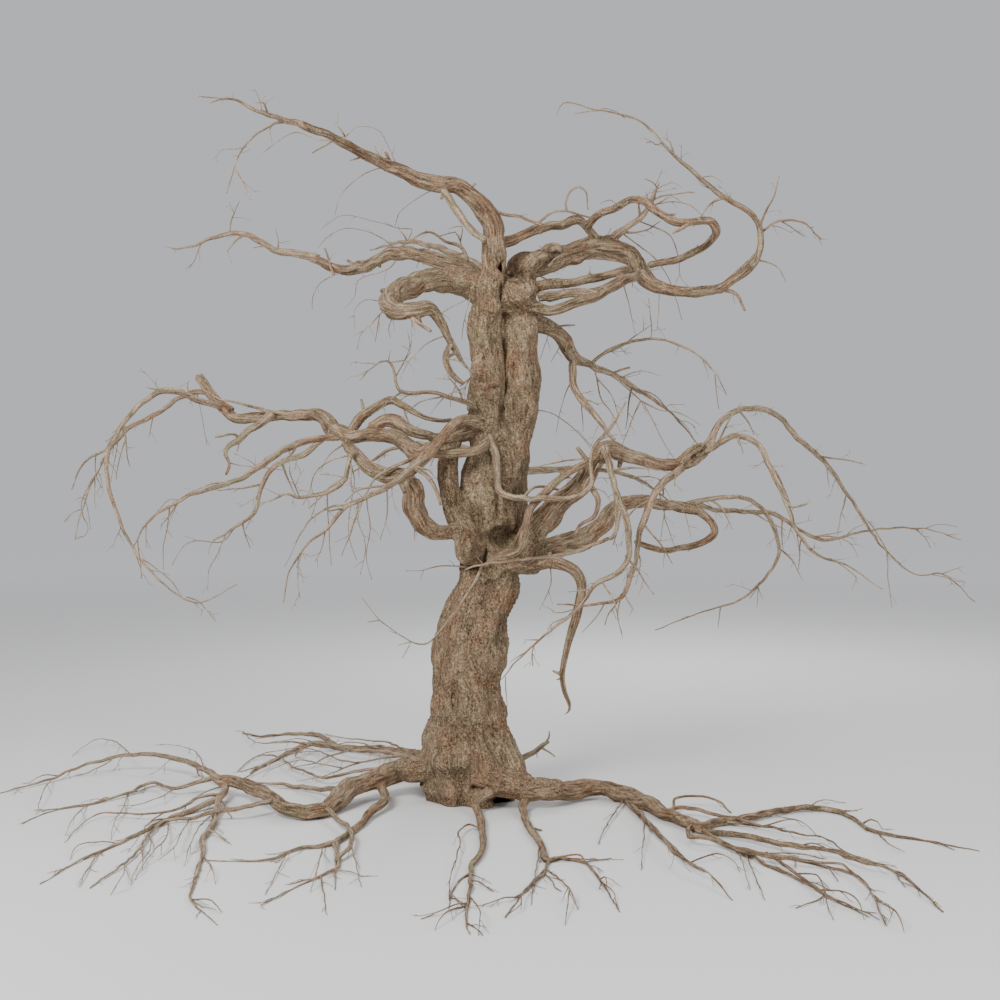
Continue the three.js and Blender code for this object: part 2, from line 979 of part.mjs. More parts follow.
const ROOTLETS = {
  rootlets_left_back: {
    on: ["root_left"],
    seed: 211,
    count: 6,
    path: [
      [-2728, 209, 130, 48],
      [-2900, 330, 150, 33],
      [-3190, 440, 170, 28],
      [-3652, 506, 190, 22],
      [-4235, 385, 100, 16],
      [-4620, 231, 30, 12],
      [-5170, 77, 0, 6],
    ],
    forks: [
      [
        [-2800, 250, 130, 30],
        [-3245, 132, 60, 20],
        [-3498, 187, 40, 18],
        [-3762, 77, 20, 16],
        [-4180, -44, 0, 13],
        [-4565, -110, 0, 9],
        [-4928, -253, 0, 5],
      ],
    ],
  },
  rootlets_left_front: {
    on: ["root_left", "rootlets_left_back"],
    seed: 223,
    count: 6,
    path: [
      [-2700, 150, 90, 44],
      [-2760, 20, 50, 36],
      [-3190, -154, 0, 28],
      [-3520, -308, 0, 22],
      [-3905, -495, 0, 16],
      [-4235, -638, 0, 12],
      [-4730, -924, 0, 6],
    ],
    forks: [
      [
        [-2760, 20, 50, 34],
        [-2838, -275, 0, 38],
        [-2937, -418, 0, 33],
        [-2948, -605, 0, 26],
        [-3025, -880, 0, 18],
        [-3058, -1100, 0, 12],
        [-2772, -1375, 0, 5],
      ],
    ],
  },
  rootlets_left_near: {
    on: ["root_left"],
    seed: 227,
    count: 5,
    path: [
      [-1463, -462, 0, 30],
      [-1650, -506, 0, 24],
      [-1892, -539, 0, 18],
      [-2222, -660, 0, 13],
      [-2600, -670, 0, 8],
      [-2915, -671, 0, 5],
    ],
    forks: [
      [
        [-1500, -480, 0, 22],
        [-1463, -748, 0, 20],
        [-1650, -836, 0, 14],
        [-1870, -935, 0, 10],
        [-2310, -1166, 0, 5],
      ],
    ],
  },
  rootlets_back_left: {
    on: ["root_back_left"],
    seed: 229,
    count: 6,
    path: [
      [-1400, 575, 4, 30],
      [-1705, 627, 0, 26],
      [-2090, 473, 0, 20],
      [-2420, 300, 0, 8],
    ],
    forks: [
      [
        [-1450, 583, 3, 28],
        [-1700, 720, 0, 22],
        [-2000, 730, 0, 16],
        [-2288, 700, 0, 11],
        [-2497, 740, 0, 6],
      ],
    ],
  },
  rootlets_right_far: {
    on: ["root_right"],
    seed: 233,
    count: 6,
    path: [
      [2530, -290, 0, 46],
      [2700, -250, 0, 44],
      [2915, -220, 10, 42],
      [3410, -121, 10, 34],
      [3718, -88, 0, 32],
      [4070, -132, 0, 27],
      [4477, -352, 0, 20],
      [5060, -451, 0, 14],
      [5600, -560, 0, 6],
    ],
    forks: [],
  },
  rootlets_right_low: {
    on: ["root_right", "rootlets_right_far"],
    seed: 239,
    count: 7,
    path: [
      [2500, -330, 0, 34],
      [2970, -385, 0, 28],
      [3410, -473, 0, 24],
      [3960, -550, 0, 20],
      [4565, -737, 0, 13],
      [4950, -990, 0, 9],
      [5203, -1232, 0, 5],
    ],
    forks: [
      [
        [2560, -340, 0, 28],
        [2915, -528, 0, 26],
        [3630, -660, 0, 20],
        [4235, -825, 0, 14],
        [4400, -990, 0, 10],
        [4565, -1375, 0, 5],
      ],
      [
        [2700, -420, 0, 22],
        [3245, -700, 0, 20],
        [3630, -880, 0, 16],
        [4015, -1100, 0, 11],
        [4400, -1290, 0, 5],
      ],
    ],
  },
  rootlets_front_left: {
    on: ["root_front_left"],
    seed: 241,
    count: 4,
    path: [
      [22, -715, 0, 27],
      [0, -990, 0, 22],
      [-44, -1320, 0, 12],
      [0, -1485, 0, 5],
    ],
    forks: [
      [
        [15, -800, 0, 16],
        [-120, -880, 0, 12],
        [-210, -1050, 0, 8],
        [-230, -1200, 0, 5],
      ],
    ],
  },
  rootlets_front_right: {
    on: ["root_front_right"],
    seed: 251,
    count: 5,
    path: [
      [847, -660, 0, 29],
      [1000, -640, 0, 20],
      [1265, -693, 0, 16],
      [1430, -880, 0, 11],
      [1650, -1232, 0, 5],
    ],
    forks: [
      [
        [870, -665, 0, 20],
        [800, -820, 0, 17],
        [583, -1023, 0, 12],
        [385, -1298, 0, 5],
      ],
    ],
  },
};

// The same random numbers for the same seed
function seededRandom(seed) {
  let state = seed >>> 0;
  return () => {
    state = (state + 0x6d2b79f5) >>> 0;
    let mixed = Math.imul(state ^ (state >>> 15), state | 1);
    mixed ^= mixed + Math.imul(mixed ^ (mixed >>> 7), mixed | 61);
    return ((mixed ^ (mixed >>> 14)) >>> 0) / 4294967296;
  };
}

// A place on the trunk or a bough, moved along its line of sight to its depth
function seen([side, height, depth, radius]) {
  const out = Math.min(1, Math.abs(side - TRUNK_SIDE) / WIDEST_SWEEP);
  const y = depth * (1 + SWEEP * out);
  const away = (y - EYE.y) / -EYE.y;
  const x = EYE.x + (side - EYE.x) * away;
  const z = EYE.z + (height - EYE.z) * away;
  return { point: new THREE.Vector3(x, y, z), radius: radius * away };
}

// A place on a root, moved along its line of sight until its underside has the given lift
function laid([side, height, lift, radius]) {
  const away = (EYE.z - lift) / (EYE.z - height + radius);
  const x = EYE.x + (side - EYE.x) * away;
  const z = EYE.z + (height - EYE.z) * away;
  return { point: new THREE.Vector3(x, EYE.y - EYE.y * away, z), radius: radius * away };
}

// A centre line through the places: stations with a radius, a direction, two side directions,
// and how far along the line they lie, from 0 to 1
function centreLine(places) {
  const stations = places.map((place, i) => ({ ...place, along: i / (places.length - 1) }));
  let side = new THREE.Vector3(1, 0, 0);
  stations.forEach((station, i) => {
    const before = stations[Math.max(i - 1, 0)].point;
    const after = stations[Math.min(i + 1, stations.length - 1)].point;
    station.direction = after.clone().sub(before).normalize();
    side = side.clone().addScaledVector(station.direction, -side.dot(station.direction));
    if (side.length() < LEAST_SIDE) side.crossVectors(new THREE.Vector3(0, 1, 0), station.direction);
    station.side = side.normalize();
    station.across = station.direction.clone().cross(side);
  });
  return stations;
}

function solidFrom(vertices, faces) {
  return new wasm.Manifold(
    new wasm.Mesh({
      numProp: 3,
      vertProperties: new Float32Array(vertices),
      triVerts: new Uint32Array(faces),
    }),
  );
}

// A closed tube along a centre line. outline gives the share of the radius at an angle and a
// station, grow swells the tube on all sides, lowest holds its skin up, and a pointed tube ends
// in one vertex.
function tube(stations, sides, { outline = () => 1, grow = 0, lowest = -Infinity, pointed = false }) {
  const vertices = [];
  const faces = [];
  const put = (point) => vertices.push(point.x, point.y, Math.max(point.z, lowest)) / 3 - 1;
  const capCentre = (station, outwards) =>
    station.point.clone().addScaledVector(station.direction, outwards * grow);
  const last = stations.length - 1;
  const rings = pointed ? stations.slice(0, -1) : stations;
  rings.forEach((station, ring) => {
    const centre = capCentre(station, ring === last ? 1 : ring === 0 ? -1 : 0);
    for (let i = 0; i < sides; i++) {
      const angle = (2 * Math.PI * i) / sides;
      const reach = station.radius * outline(angle, station) + grow;
      const point = centre.clone().addScaledVector(station.side, reach * Math.cos(angle));
      put(point.addScaledVector(station.across, reach * Math.sin(angle)));
    }
  });
  for (let ring = 0; ring < rings.length - 1; ring++) {
    for (let i = 0; i < sides; i++) {
      const a = ring * sides + i;
      const b = ring * sides + ((i + 1) % sides);
      faces.push(a, b, b + sides, a, b + sides, a + sides);
    }
  }
  const start = put(capCentre(stations[0], -1));
  const end = put(capCentre(stations[last], 1));
  const lastRing = (rings.length - 1) * sides;
  for (let i = 0; i < sides; i++) {
    const next = (i + 1) % sides;
    faces.push(start, next, i);
    faces.push(end, lastRing + i, lastRing + next);
  }
  return solidFrom(vertices, faces);
}

// A crooked limb's section, wavier where it is rough
function knobbly(phase, roughness) {
  return (angle, { along }) =>
    1 +
    roughness * 0.6 * Math.sin(2 * angle + 9 * along + phase) +
    roughness * 0.4 * Math.sin(3 * angle - 17 * along + 2 * phase);
}

// The bole's section, ribbed round the root flare
function fluted(angle, { along }) {
  const flare = Math.max(0, 1 - along / FLARE_TOP);
  return 1 + (0.03 + 0.1 * flare) * Math.cos(FLARE_FLUTES * angle + 2) + 0.04 * Math.cos(2 * angle);
}

const sum = (solids) => solids.reduce((a, b) => a.add(b));
const largestBody = (solid) =>
  solid.decompose().reduce((a, b) => (b.volume() > a.volume() ? b : a));

function geometryOf(solid) {
  const mesh = solid.getMesh();
  const geometry = new THREE.BufferGeometry();
  geometry.setAttribute("position", new THREE.BufferAttribute(mesh.vertProperties, 3));
  geometry.setIndex(new THREE.BufferAttribute(mesh.triVerts, 1));
  geometry.computeVertexNormals();
  return geometry;
}

// Everything below the ground, to cut the foot of the trunk flat
function groundBlock() {
  const geometry = new THREE.BoxGeometry(GROUND_SIZE, GROUND_SIZE, GROUND_SIZE);
  geometry.translate(0, 0, -GROUND_SIZE / 2);
  geometry.deleteAttribute("normal");
  geometry.deleteAttribute("uv");
  const merged = mergeVertices(geometry);
  return solidFrom(Array.from(merged.attributes.position.array), Array.from(merged.index.array));
}

// The trunk: the bole and the stems fused above it
function trunkLines() {
  const lines = { bole: centreLine(BOLE.map(seen)) };
  for (const [name, places] of Object.entries(STEMS)) lines[name] = centreLine(places.map(seen));
  return lines;
}

function trunkSolid(lines, grow) {
  const parts = Object.entries(lines).map(([name, line], i) =>
    name === "bole"
      ? tube(line, TRUNK_SIDES, { outline: fluted, grow })
      : tube(line, STEM_SIDES, { outline: knobbly(i, BOUGH_ROUGHNESS), grow }),
  );
  return sum(parts).subtract(groundBlock());
}

const sidesFor = (radius) => (radius > 100 ? 9 : radius > 60 ? 8 : radius > 40 ? 6 : 5);

// A bough or a root: its main line and its forks in one solid
function limbSolid(lines, phase, grow, lowest) {
  const outline = knobbly(phase, BOUGH_ROUGHNESS);
  return sum(lines.map((line) => tube(line, sidesFor(line[0].radius), { outline, grow, lowest })));
}

// Side twigs leave the stem by turns of the golden angle, bend as they go and thin out. One that
// would touch another limb, or leave the space round its own stem, is skipped.
function growTwigs(name, rule, lines, style) {
  const random = seededRandom(rule.seed);
  const box = new THREE.Box3().setFromPoints(lines.flat().map((station) => station.point));
  box.expandByScalar(style.reach * STEM_SPACE);
  const total = lines.reduce((length, line) => length + lineLength(line), 0);
  const twigs = [];
  lines.forEach((line) => {
    const count = Math.max(1, Math.round((rule.count * lineLength(line)) / total));
    for (let i = 0; i < count; i++) {
      const along = FIRST_TWIG + (TWIGGED_SHARE * (i + 0.3 + 0.5 * random())) / count;
      const twig = sideTwig(stationAt(line, along), i, along, style, random);
      const clear = twig.every((place) => box.containsPoint(place.point) && isClear(place, name));
      if (!clear) continue;
      twigs.push(twig);
      occupy(name, twig);
    }
  });
  return twigs;
}

function sideTwig(root, turn, along, style, random) {
  const angle = turn * GOLDEN_TURN + random();
  const open = style.leastOpening + style.openingRange * random();
  const direction = root.direction.clone().multiplyScalar(Math.cos(open));
  direction.addScaledVector(root.side, Math.sin(open) * Math.cos(angle));
  direction.addScaledVector(root.across, Math.sin(open) * Math.sin(angle));
  const length = style.reach * (0.5 + 0.5 * random()) * (1 - TIP_SHORTENING * along);
  const least = THINNEST_ROOT * LEAST_TWIG;
  const thick = THREE.MathUtils.clamp(root.radius * 0.5, least, style.thickest);
  const droop = style.droop * (random() - style.rising);
  const point = root.point.clone();
  const places = [{ point: point.clone(), radius: thick }];
  for (let step = 1; step <= TWIG_STEPS; step++) {
    direction.x += style.wander * (random() - 0.5);
    direction.y += style.wander * (random() - 0.5);
    direction.z += style.wander * (random() - 0.5) - droop;
    direction.normalize();
    point.addScaledVector(direction, length / TWIG_STEPS);
    const radius = THREE.MathUtils.lerp(thick, LEAST_TWIG, step / TWIG_STEPS);
    if (style.onGround) point.z = Math.max(radius + 1, point.z * (1 - step / TWIG_STEPS));
    places.push({ point: point.clone(), radius });
  }
  return places;
}

function lineLength(line) {
  let length = 0;
  for (let i = 1; i < line.length; i++) length += line[i].point.distanceTo(line[i - 1].point);
  return length;
}

function stationAt(line, along) {
  const place = along * (line.length - 1);
  const i = Math.min(Math.floor(place), line.length - 2);
  const share = place - i;
  return {
    point: line[i].point.clone().lerp(line[i + 1].point, share),
    radius: THREE.MathUtils.lerp(line[i].radius, line[i + 1].radius, share),
    direction: line[i].direction,
    side: line[i].side,
    across: line[i].across,
  };
}

// The space taken so far, as balls along the limbs
const taken = [];

function occupy(name, places) {
  for (let i = 1; i < places.length; i++) {
    const from = places[i - 1];
    const to = places[i];
    const pieces = Math.ceil(from.point.distanceTo(to.point) / BALL_SPACING);
    for (let j = 0; j <= pieces; j++) {
      const point = from.point.clone().lerp(to.point, j / pieces);
      taken.push({ name, point, radius: Math.max(from.radius, to.radius) });
    }
  }
}

function isClear({ point, radius }, name) {
  return taken.every((ball) => {
    const least = ball.radius + radius + TWIG_CLEARANCE + BALL_SPACING / 4;
    return ball.name === name || ball.point.distanceTo(point) > least;
  });
}

// A limb's lines: its main path, led back into its carrier where it starts apart from it, and
// its forks
function limbLines({ on, path, forks = [] }, settle) {
  const places = path.map(settle);
  const { point, radius } = places[0];
  const root = nearestOn(linesOf[on[0]], point);
  const apart = root.share > LEAST_ROOTING && root.point.distanceTo(point) > radius;
  if (apart) places.unshift({ point: root.point, radius });
  return [places, ...forks.map((fork) => fork.map(settle))].map(centreLine);
}

// The nearest place on some centre lines, by its distance as a share of the radius there
function nearestOn(lines, point) {
  let nearest = { share: Infinity };
  for (const line of lines) {
    for (let i = 1; i < line.length; i++) {
      const segment = new THREE.Line3(line[i - 1].point, line[i].point);
      const along = segment.closestPointToPointParameter(point, true);
      const found = segment.at(along, new THREE.Vector3());
      const radius = THREE.MathUtils.lerp(line[i - 1].radius, line[i].radius, along);
      const share = found.distanceTo(point) / radius;
      if (share < nearest.share) nearest = { share, point: found };
    }
  }
  return nearest;
}

const tree = new THREE.Group();
const linesOf = {};
const grown = {};
const materials = {
  trunk: bark(TRUNK_BARK),
  bough: bark(BOUGH_BARK),
  root: bark(ROOT_BARK),
  twigs: bark(TWIG_BARK),
};

function bark(color) {
  return new THREE.MeshStandardMaterial({ color, roughness: BARK_ROUGHNESS, metalness: 0 });
}

function add(name, solid, material) {
  const mesh = new THREE.Mesh(geometryOf(solid), material);
  mesh.name = name;
  tree.add(mesh);
}

const trunk = trunkLines();
linesOf.trunk = Object.values(trunk);
linesOf.trunk.forEach((line) => occupy("trunk", line));
grown.trunk = trunkSolid(trunk, GAP);
add("trunk", trunkSolid(trunk, 0), materials.trunk);

// Boughs and roots, each cut clear of the limbs that carry it
function addLimbs(limbs, settle, material, lowest) {
  Object.entries(limbs).forEach(([name, limb], i) => {
    const lines = limbLines(limb, settle);
    linesOf[name] = lines;
    let solid = limbSolid(lines, i, 0, lowest);
    for (const carrier of limb.on) solid = solid.subtract(grown[carrier]);
    grown[name] = limbSolid(lines, i, GAP, -Infinity);
    lines.forEach((line) => occupy(name, line));
    add(name, largestBody(solid), material);
  });
}

addLimbs(BOUGHS, seen, materials.bough, -Infinity);
addLimbs(ROOTS, laid, materials.root, 0);

// Masses of twigs: first all their stems take their space, then the side twigs grow
function massLines(masses, settle) {
  return Object.entries(masses).map(([name, rule]) => {
    const lines = limbLines(rule, settle);
    lines.forEach((line) => occupy(name, line));
    return { name, rule, lines };
  });
}

function massSolid(lines, twigs, grow, lowest) {
  const stems = lines.map((line) =>
    tube(line, line[0].radius > THICK_STEM ? 5 : 4, { grow, lowest, pointed: true }),
  );
  const sides = twigs.map((twig) => tube(centreLine(twig), TWIG_SIDES, { grow, lowest, pointed: true }));
  return sum([...stems, ...sides]);
}

function addMasses(masses, style, lowest) {
  masses.forEach(({ name, rule, lines }) => {
    const twigs = growTwigs(name, rule, lines, style);
    let solid = massSolid(lines, twigs, 0, lowest);
    for (const carrier of rule.on) solid = solid.subtract(grown[carrier]);
    grown[name] = massSolid(lines, twigs, GAP, -Infinity);
    add(name, largestBody(solid), materials.twigs);
  });
}

const crownMasses = massLines(TWIGS, seen);
const rootMasses = massLines(ROOTLETS, laid);
addMasses(crownMasses, CROWN_STYLE, -Infinity);
addMasses(rootMasses, ROOT_STYLE, 0);

export default tree;
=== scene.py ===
"""A dead tree on its spread roots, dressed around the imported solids: bark with relief on the trunk,
boughs and roots, and whips of twigs and rootlets grown on from them by the rule of the solids."""

import itertools
import math

import bpy
import numpy as np
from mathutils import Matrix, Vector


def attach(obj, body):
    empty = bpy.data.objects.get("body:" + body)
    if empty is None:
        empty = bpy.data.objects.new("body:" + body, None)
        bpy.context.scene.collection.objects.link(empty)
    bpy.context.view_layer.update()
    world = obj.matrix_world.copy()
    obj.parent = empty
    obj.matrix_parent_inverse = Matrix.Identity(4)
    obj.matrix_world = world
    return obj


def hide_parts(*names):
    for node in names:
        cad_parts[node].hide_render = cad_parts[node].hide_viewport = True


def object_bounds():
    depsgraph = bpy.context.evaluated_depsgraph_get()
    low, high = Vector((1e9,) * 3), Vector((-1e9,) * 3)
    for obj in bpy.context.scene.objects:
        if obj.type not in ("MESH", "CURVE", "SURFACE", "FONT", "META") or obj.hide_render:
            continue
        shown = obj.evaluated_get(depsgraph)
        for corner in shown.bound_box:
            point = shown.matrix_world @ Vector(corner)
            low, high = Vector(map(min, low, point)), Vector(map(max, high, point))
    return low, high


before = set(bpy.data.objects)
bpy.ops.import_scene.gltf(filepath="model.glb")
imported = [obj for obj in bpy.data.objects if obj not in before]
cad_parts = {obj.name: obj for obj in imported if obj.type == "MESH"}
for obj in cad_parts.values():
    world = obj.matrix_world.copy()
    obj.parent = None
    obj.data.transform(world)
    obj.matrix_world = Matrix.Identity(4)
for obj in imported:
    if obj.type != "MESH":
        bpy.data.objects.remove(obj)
cad_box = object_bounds()
lowest, highest = (np.array(corner) for corner in cad_box)

# The solids' driving dimensions, in millimetres
EYE = (330, -14300, 3300)
SWEEP = 0.8
WIDEST_SWEEP = 2000
TRUNK_SIDE = 300
TWIG_CLEARANCE = 12
LEAST_TWIG = 4.5
CROWN_STYLE = {
    "reach": 760,
    "least_opening": 0.5,
    "opening_range": 0.6,
    "droop": 0.42,
    "rising": 0.25,
    "wander": 0.5,
    "thickest": 15,
    "on_ground": False,
}
ROOT_STYLE = {
    "reach": 720,
    "least_opening": 0.3,
    "opening_range": 0.5,
    "droop": 0,
    "rising": 0,
    "wander": 0.5,
    "thickest": 14,
    "on_ground": True,
}
TWIG_STEPS = 3
BALL_SPACING = 60
LEAST_ROOTING = 0.5
GOLDEN_TURN = math.pi * (3 - math.sqrt(5))
WORD = 0xFFFFFFFF
MM = 0.001

# The standpoint again, in metres, and the picture seen from it, in pixels
STAND = tuple(number / 1000 for number in EYE)
FOCAL = 1300
PICTURE = 1000
MIDDLE = PICTURE / 2


def rows_of(text):
    """The rows of a table; a line that ends in a comma runs on."""
    return text.replace(",\n", ", ").strip().split("\n")


def path_of(text):
    return [tuple(float(number) for number in place.split()) for place in text.split(",")]


def table_of(prefix, text):
    """Limbs by name, from headings as 'name: carriers seed tries' with their paths below."""
    table = {}
    for row in rows_of(text):
        if ":" in row:
            name, words = row.split(":")
            words = words.split()
            limb = {
                "on": [word for word in words if not word.isdigit()],
                "rule": [int(word) for word in words if word.isdigit()],
                "paths": [],
            }
            table[prefix + name] = limb
        else:
            limb["paths"].append(path_of(row))
    return table


# Places on the trunk and the boughs: side and height as seen from the standpoint across the
# upright plane through the trunk, depth behind that plane, radius. On the roots, the third number
# is how high the underside lies. A heading names a limb and what it grows on, and for a mass its
# seed and how many side twigs the rule tries; below it come the main path and the forks.
TRUNK = table_of("", """
bole:
-20 -60 60 500, -20 180 60 500, -25 480 50 495, -38 860 30 405, -40 1200 10 385, -40 1560 0 385,
15 1840 0 370, 95 2080 10 345, 190 2400 30 322, 230 2680 60 295, 250 2900 80 240
left:
150 2200 -60 200, 165 2640 -110 185, 176 3080 -60 180, 170 3520 -60 182, 180 4000 -60 170,
176 4400 -50 180, 190 4800 -50 165, 176 5200 -40 182, 230 5560 -20 160
right:
290 2300 60 160, 400 2700 70 165, 480 3300 60 150, 500 3900 60 140, 560 4330 40 205, 565 4700 40 190,
545 5200 50 165, 560 5640 60 165
back:
250 2200 180 210, 320 2900 240 200, 340 3600 250 175, 360 4400 230 185, 400 5000 220 170,
420 5480 200 150
outer_left:
60 2560 -190 80, -10 2740 -220 128, -60 2960 -215 120, -170 3240 -190 100, -225 3540 -170 98,
-225 3800 -150 92, -130 4040 -110 85, 60 4230 -60 80
front_lobe:
250 2500 -150 150, 330 2620 -200 130, 420 2640 -210 120, 600 2600 -120 110, 760 2560 -60 85
top_block:
520 5440 -60 130, 400 5560 -120 150, 430 5720 -60 130
back_spur:
380 420 200 130, 560 480 420 70, 800 600 560 36, 870 740 600 16
""")
BOUGHS = table_of("bough_", """
top_left: trunk
225 5380 -130 150, 240 5620 -190 140, 255 5940 -220 132, 262 6240 -240 128, 154 6510 -250 115,
-88 6710 -260 104, -330 6755 -300 80, -770 6910 -420 74, -1155 7095 -560 56, -1650 7350 -760 44,
-1870 7436 -850 38
high_left: trunk
200 5560 120 110, 0 5820 200 84, -330 5918 320 77, -770 6017 460 70, -1155 5885 600 60, -1375 5819 700 52,
-1738 5973 840 44
curl: trunk bough_top_left bough_high_left
150 5600 -40 160, -60 5700 -90 148, -240 5731 -170 135, -440 5709 -280 122, -660 5643 -420 116,
-825 5560 -600 110, -878 5460 -780 104
curl_return: bough_curl
-880 5452 -800 96, -825 5372 -940 92, -640 5376 -1010 85, -462 5412 -1010 76, -352 5324 -990 60,
-253 5115 -950 44, -165 4950 -900 36
fold_left: trunk
190 4130 -120 160, 60 4160 -230 145, -88 4120 -310 122, -308 3950 -370 92, -506 3790 -380 70
low_left: bough_fold_left
-480 3810 -360 84, -580 3800 -320 84, -670 3880 -270 82, -815 4000 -210 80, -1080 4020 -110 78,
-1320 4010 0 77, -1500 4060 60 70
-1090 4080 -60 60, -960 4160 -70 66, -800 4150 -90 74, -620 4060 -120 66, -430 3995 -140 50
far_left: bough_low_left
-1500 4065 62 68, -1590 4190 90 70, -1680 4240 110 66, -1870 4235 160 64, -2255 4213 250 60,
-2585 4202 300 58, -2772 4367 330 46
hook_left: trunk
-110 3000 -200 80, -240 2960 -260 76, -380 2955 -320 80, -520 3040 -380 106, -620 3240 -420 116,
-650 3430 -420 108, -710 3550 -410 86
hook_left_arm: bough_hook_left bough_low_left
-712 3554 -408 74, -902 3545 -340 76, -1045 3608 -290 74, -1188 3740 -220 66, -1310 3860 -150 60,
-1360 3930 -90 50
bridge_left: bough_low_left
-1300 4060 0 46, -1240 4150 20 48, -1155 4240 40 44, -1000 4350 50 40, -858 4400 60 40, -748 4345 60 36,
-605 4257 40 30, -330 4175 -60 23, -200 4185 -100 22
low_right: trunk
560 2700 -60 160, 680 2930 -160 146, 800 3080 -220 138, 935 3212 -270 128, 1100 3355 -310 120,
1265 3542 -330 110, 1397 3718 -340 98, 1474 3850 -330 86
far_right: bough_low_right
1480 3858 -325 78, 1650 3828 -280 76, 1870 3762 -240 70, 2090 3707 -200 66, 2288 3685 -160 68,
2440 3760 -130 84, 2596 3870 -100 56
right_behind: trunk bough_low_right
600 2700 140 125, 820 2750 220 112, 1045 2805 320 110, 1265 2882 420 108, 1430 3025 500 100,
1562 3168 570 95, 1700 3265 640 78, 1925 3278 740 66, 2145 3245 830 58, 2365 3212 900 52
right_loop: bough_right_behind
2350 3200 880 42, 2540 3150 860 42, 2662 3058 820 40, 2695 2950 770 38, 2600 2850 700 36,
2310 2772 600 34, 2100 2750 520 32, 1815 2838 440 28
hanging: trunk
700 2590 -90 72, 880 2620 -180 66, 1133 2530 -240 58, 1232 2365 -260 54, 1199 2145 -270 50,
1089 1760 -280 42, 1012 1375 -300 32, 1045 1155 -300 24, 1067 957 -300 10
right_front: trunk bough_low_right
480 2680 -280 46, 580 2860 -400 45, 660 3190 -460 44, 770 3322 -480 42, 1045 3575 -500 40,
1300 3720 -490 36, 1420 3790 -440 32
upper_right: trunk
600 5270 100 105, 880 5192 240 86, 1023 5060 320 78, 1133 4884 400 68
top_right: trunk bough_top_left
500 5640 120 165, 627 5860 180 150, 825 5918 230 130, 1100 6006 280 112, 1430 6083 310 100,
1650 6050 310 98, 1793 5962 290 95, 1870 5830 240 88
cage_high: trunk bough_top_right
700 5640 20 58, 960 5680 -40 52, 1210 5709 -60 50, 1540 5790 -20 48, 1760 5840 120 44
cage_low: trunk bough_cage_high bough_top_right
640 5440 -60 66, 880 5379 -220 56, 1100 5445 -290 54, 1320 5511 -290 58, 1485 5590 -230 58,
1680 5700 -80 52, 1830 5770 90 46
1380 5560 -280 44, 1210 5577 -280 46, 960 5550 -220 46, 760 5535 -130 46
outer_loop: bough_top_right bough_cage_low
1872 5826 238 80, 1960 5720 220 74, 2090 5643 200 66, 2310 5599 150 58, 2530 5599 100 52, 2728 5621 40 48,
3025 5808 -40 45, 3157 5962 -100 42
connector: bough_top_left bough_top_right
300 6110 -150 54, 550 6204 0 50, 770 6281 100 50, 990 6325 160 48, 1210 6380 200 46, 1320 6260 250 48,
1400 6150 290 56
inner_loop: bough_connector bough_top_right
1300 6330 200 40, 1397 6430 60 40, 1595 6520 -140 42, 1760 6600 -280 42, 1925 6578 -380 44,
2090 6446 -440 45, 2255 6358 -460 45, 2420 6358 -450 42, 2640 6369 -400 42
inner_loop_low: bough_inner_loop bough_top_right
2648 6366 -398 36, 2717 6259 -360 40, 2640 6149 -290 38, 2420 6006 -160 38, 2200 5929 0 38,
1980 5885 160 38
back_high: trunk bough_top_right
400 5300 200 140, 420 5500 520 112, 390 5640 900 88, 300 5720 1300 66
back_low: trunk
340 2900 260 160, 400 3200 640 122, 470 3420 1100 98, 480 3600 1560 76
""")
ROOTS = table_of("root_", """
left: trunk
-300 390 200 190, -540 352 200 160, -770 330 150 130, -1045 231 100 120, -1320 110 60 105, -1595 -88 0 90,
-1815 -143 0 78, -2000 -100 30 74, -2145 0 70 72, -2310 88 110 70, -2530 187 120 64, -2728 209 120 58
-985 180 120 50, -945 -10 60 44, -1100 -143 20 42, -1265 -308 0 38, -1463 -462 0 33
back_left: trunk
-340 400 160 110, -495 450 140 76, -770 528 60 48, -1100 560 10 40, -1400 575 0 34
right: trunk
280 200 120 170, 550 132 100 126, 990 110 60 102, 1320 132 30 92, 1650 77 10 88, 1870 0 0 85,
2200 -165 0 72, 2530 -297 0 55
1700 20 10 40, 1830 -120 0 30, 1980 -275 0 27, 2145 -440 0 24, 2420 -693 0 20, 2600 -792 0 14
front_left: trunk root_right
240 180 130 90, 150 60 80 56, 95 -80 20 46, 132 -330 0 42, 132 -550 0 36, 22 -715 0 30
front_right: trunk root_right
520 190 160 80, 600 60 90 50, 583 -110 10 42, 660 -308 0 38, 770 -473 0 36, 847 -660 0 32
""")
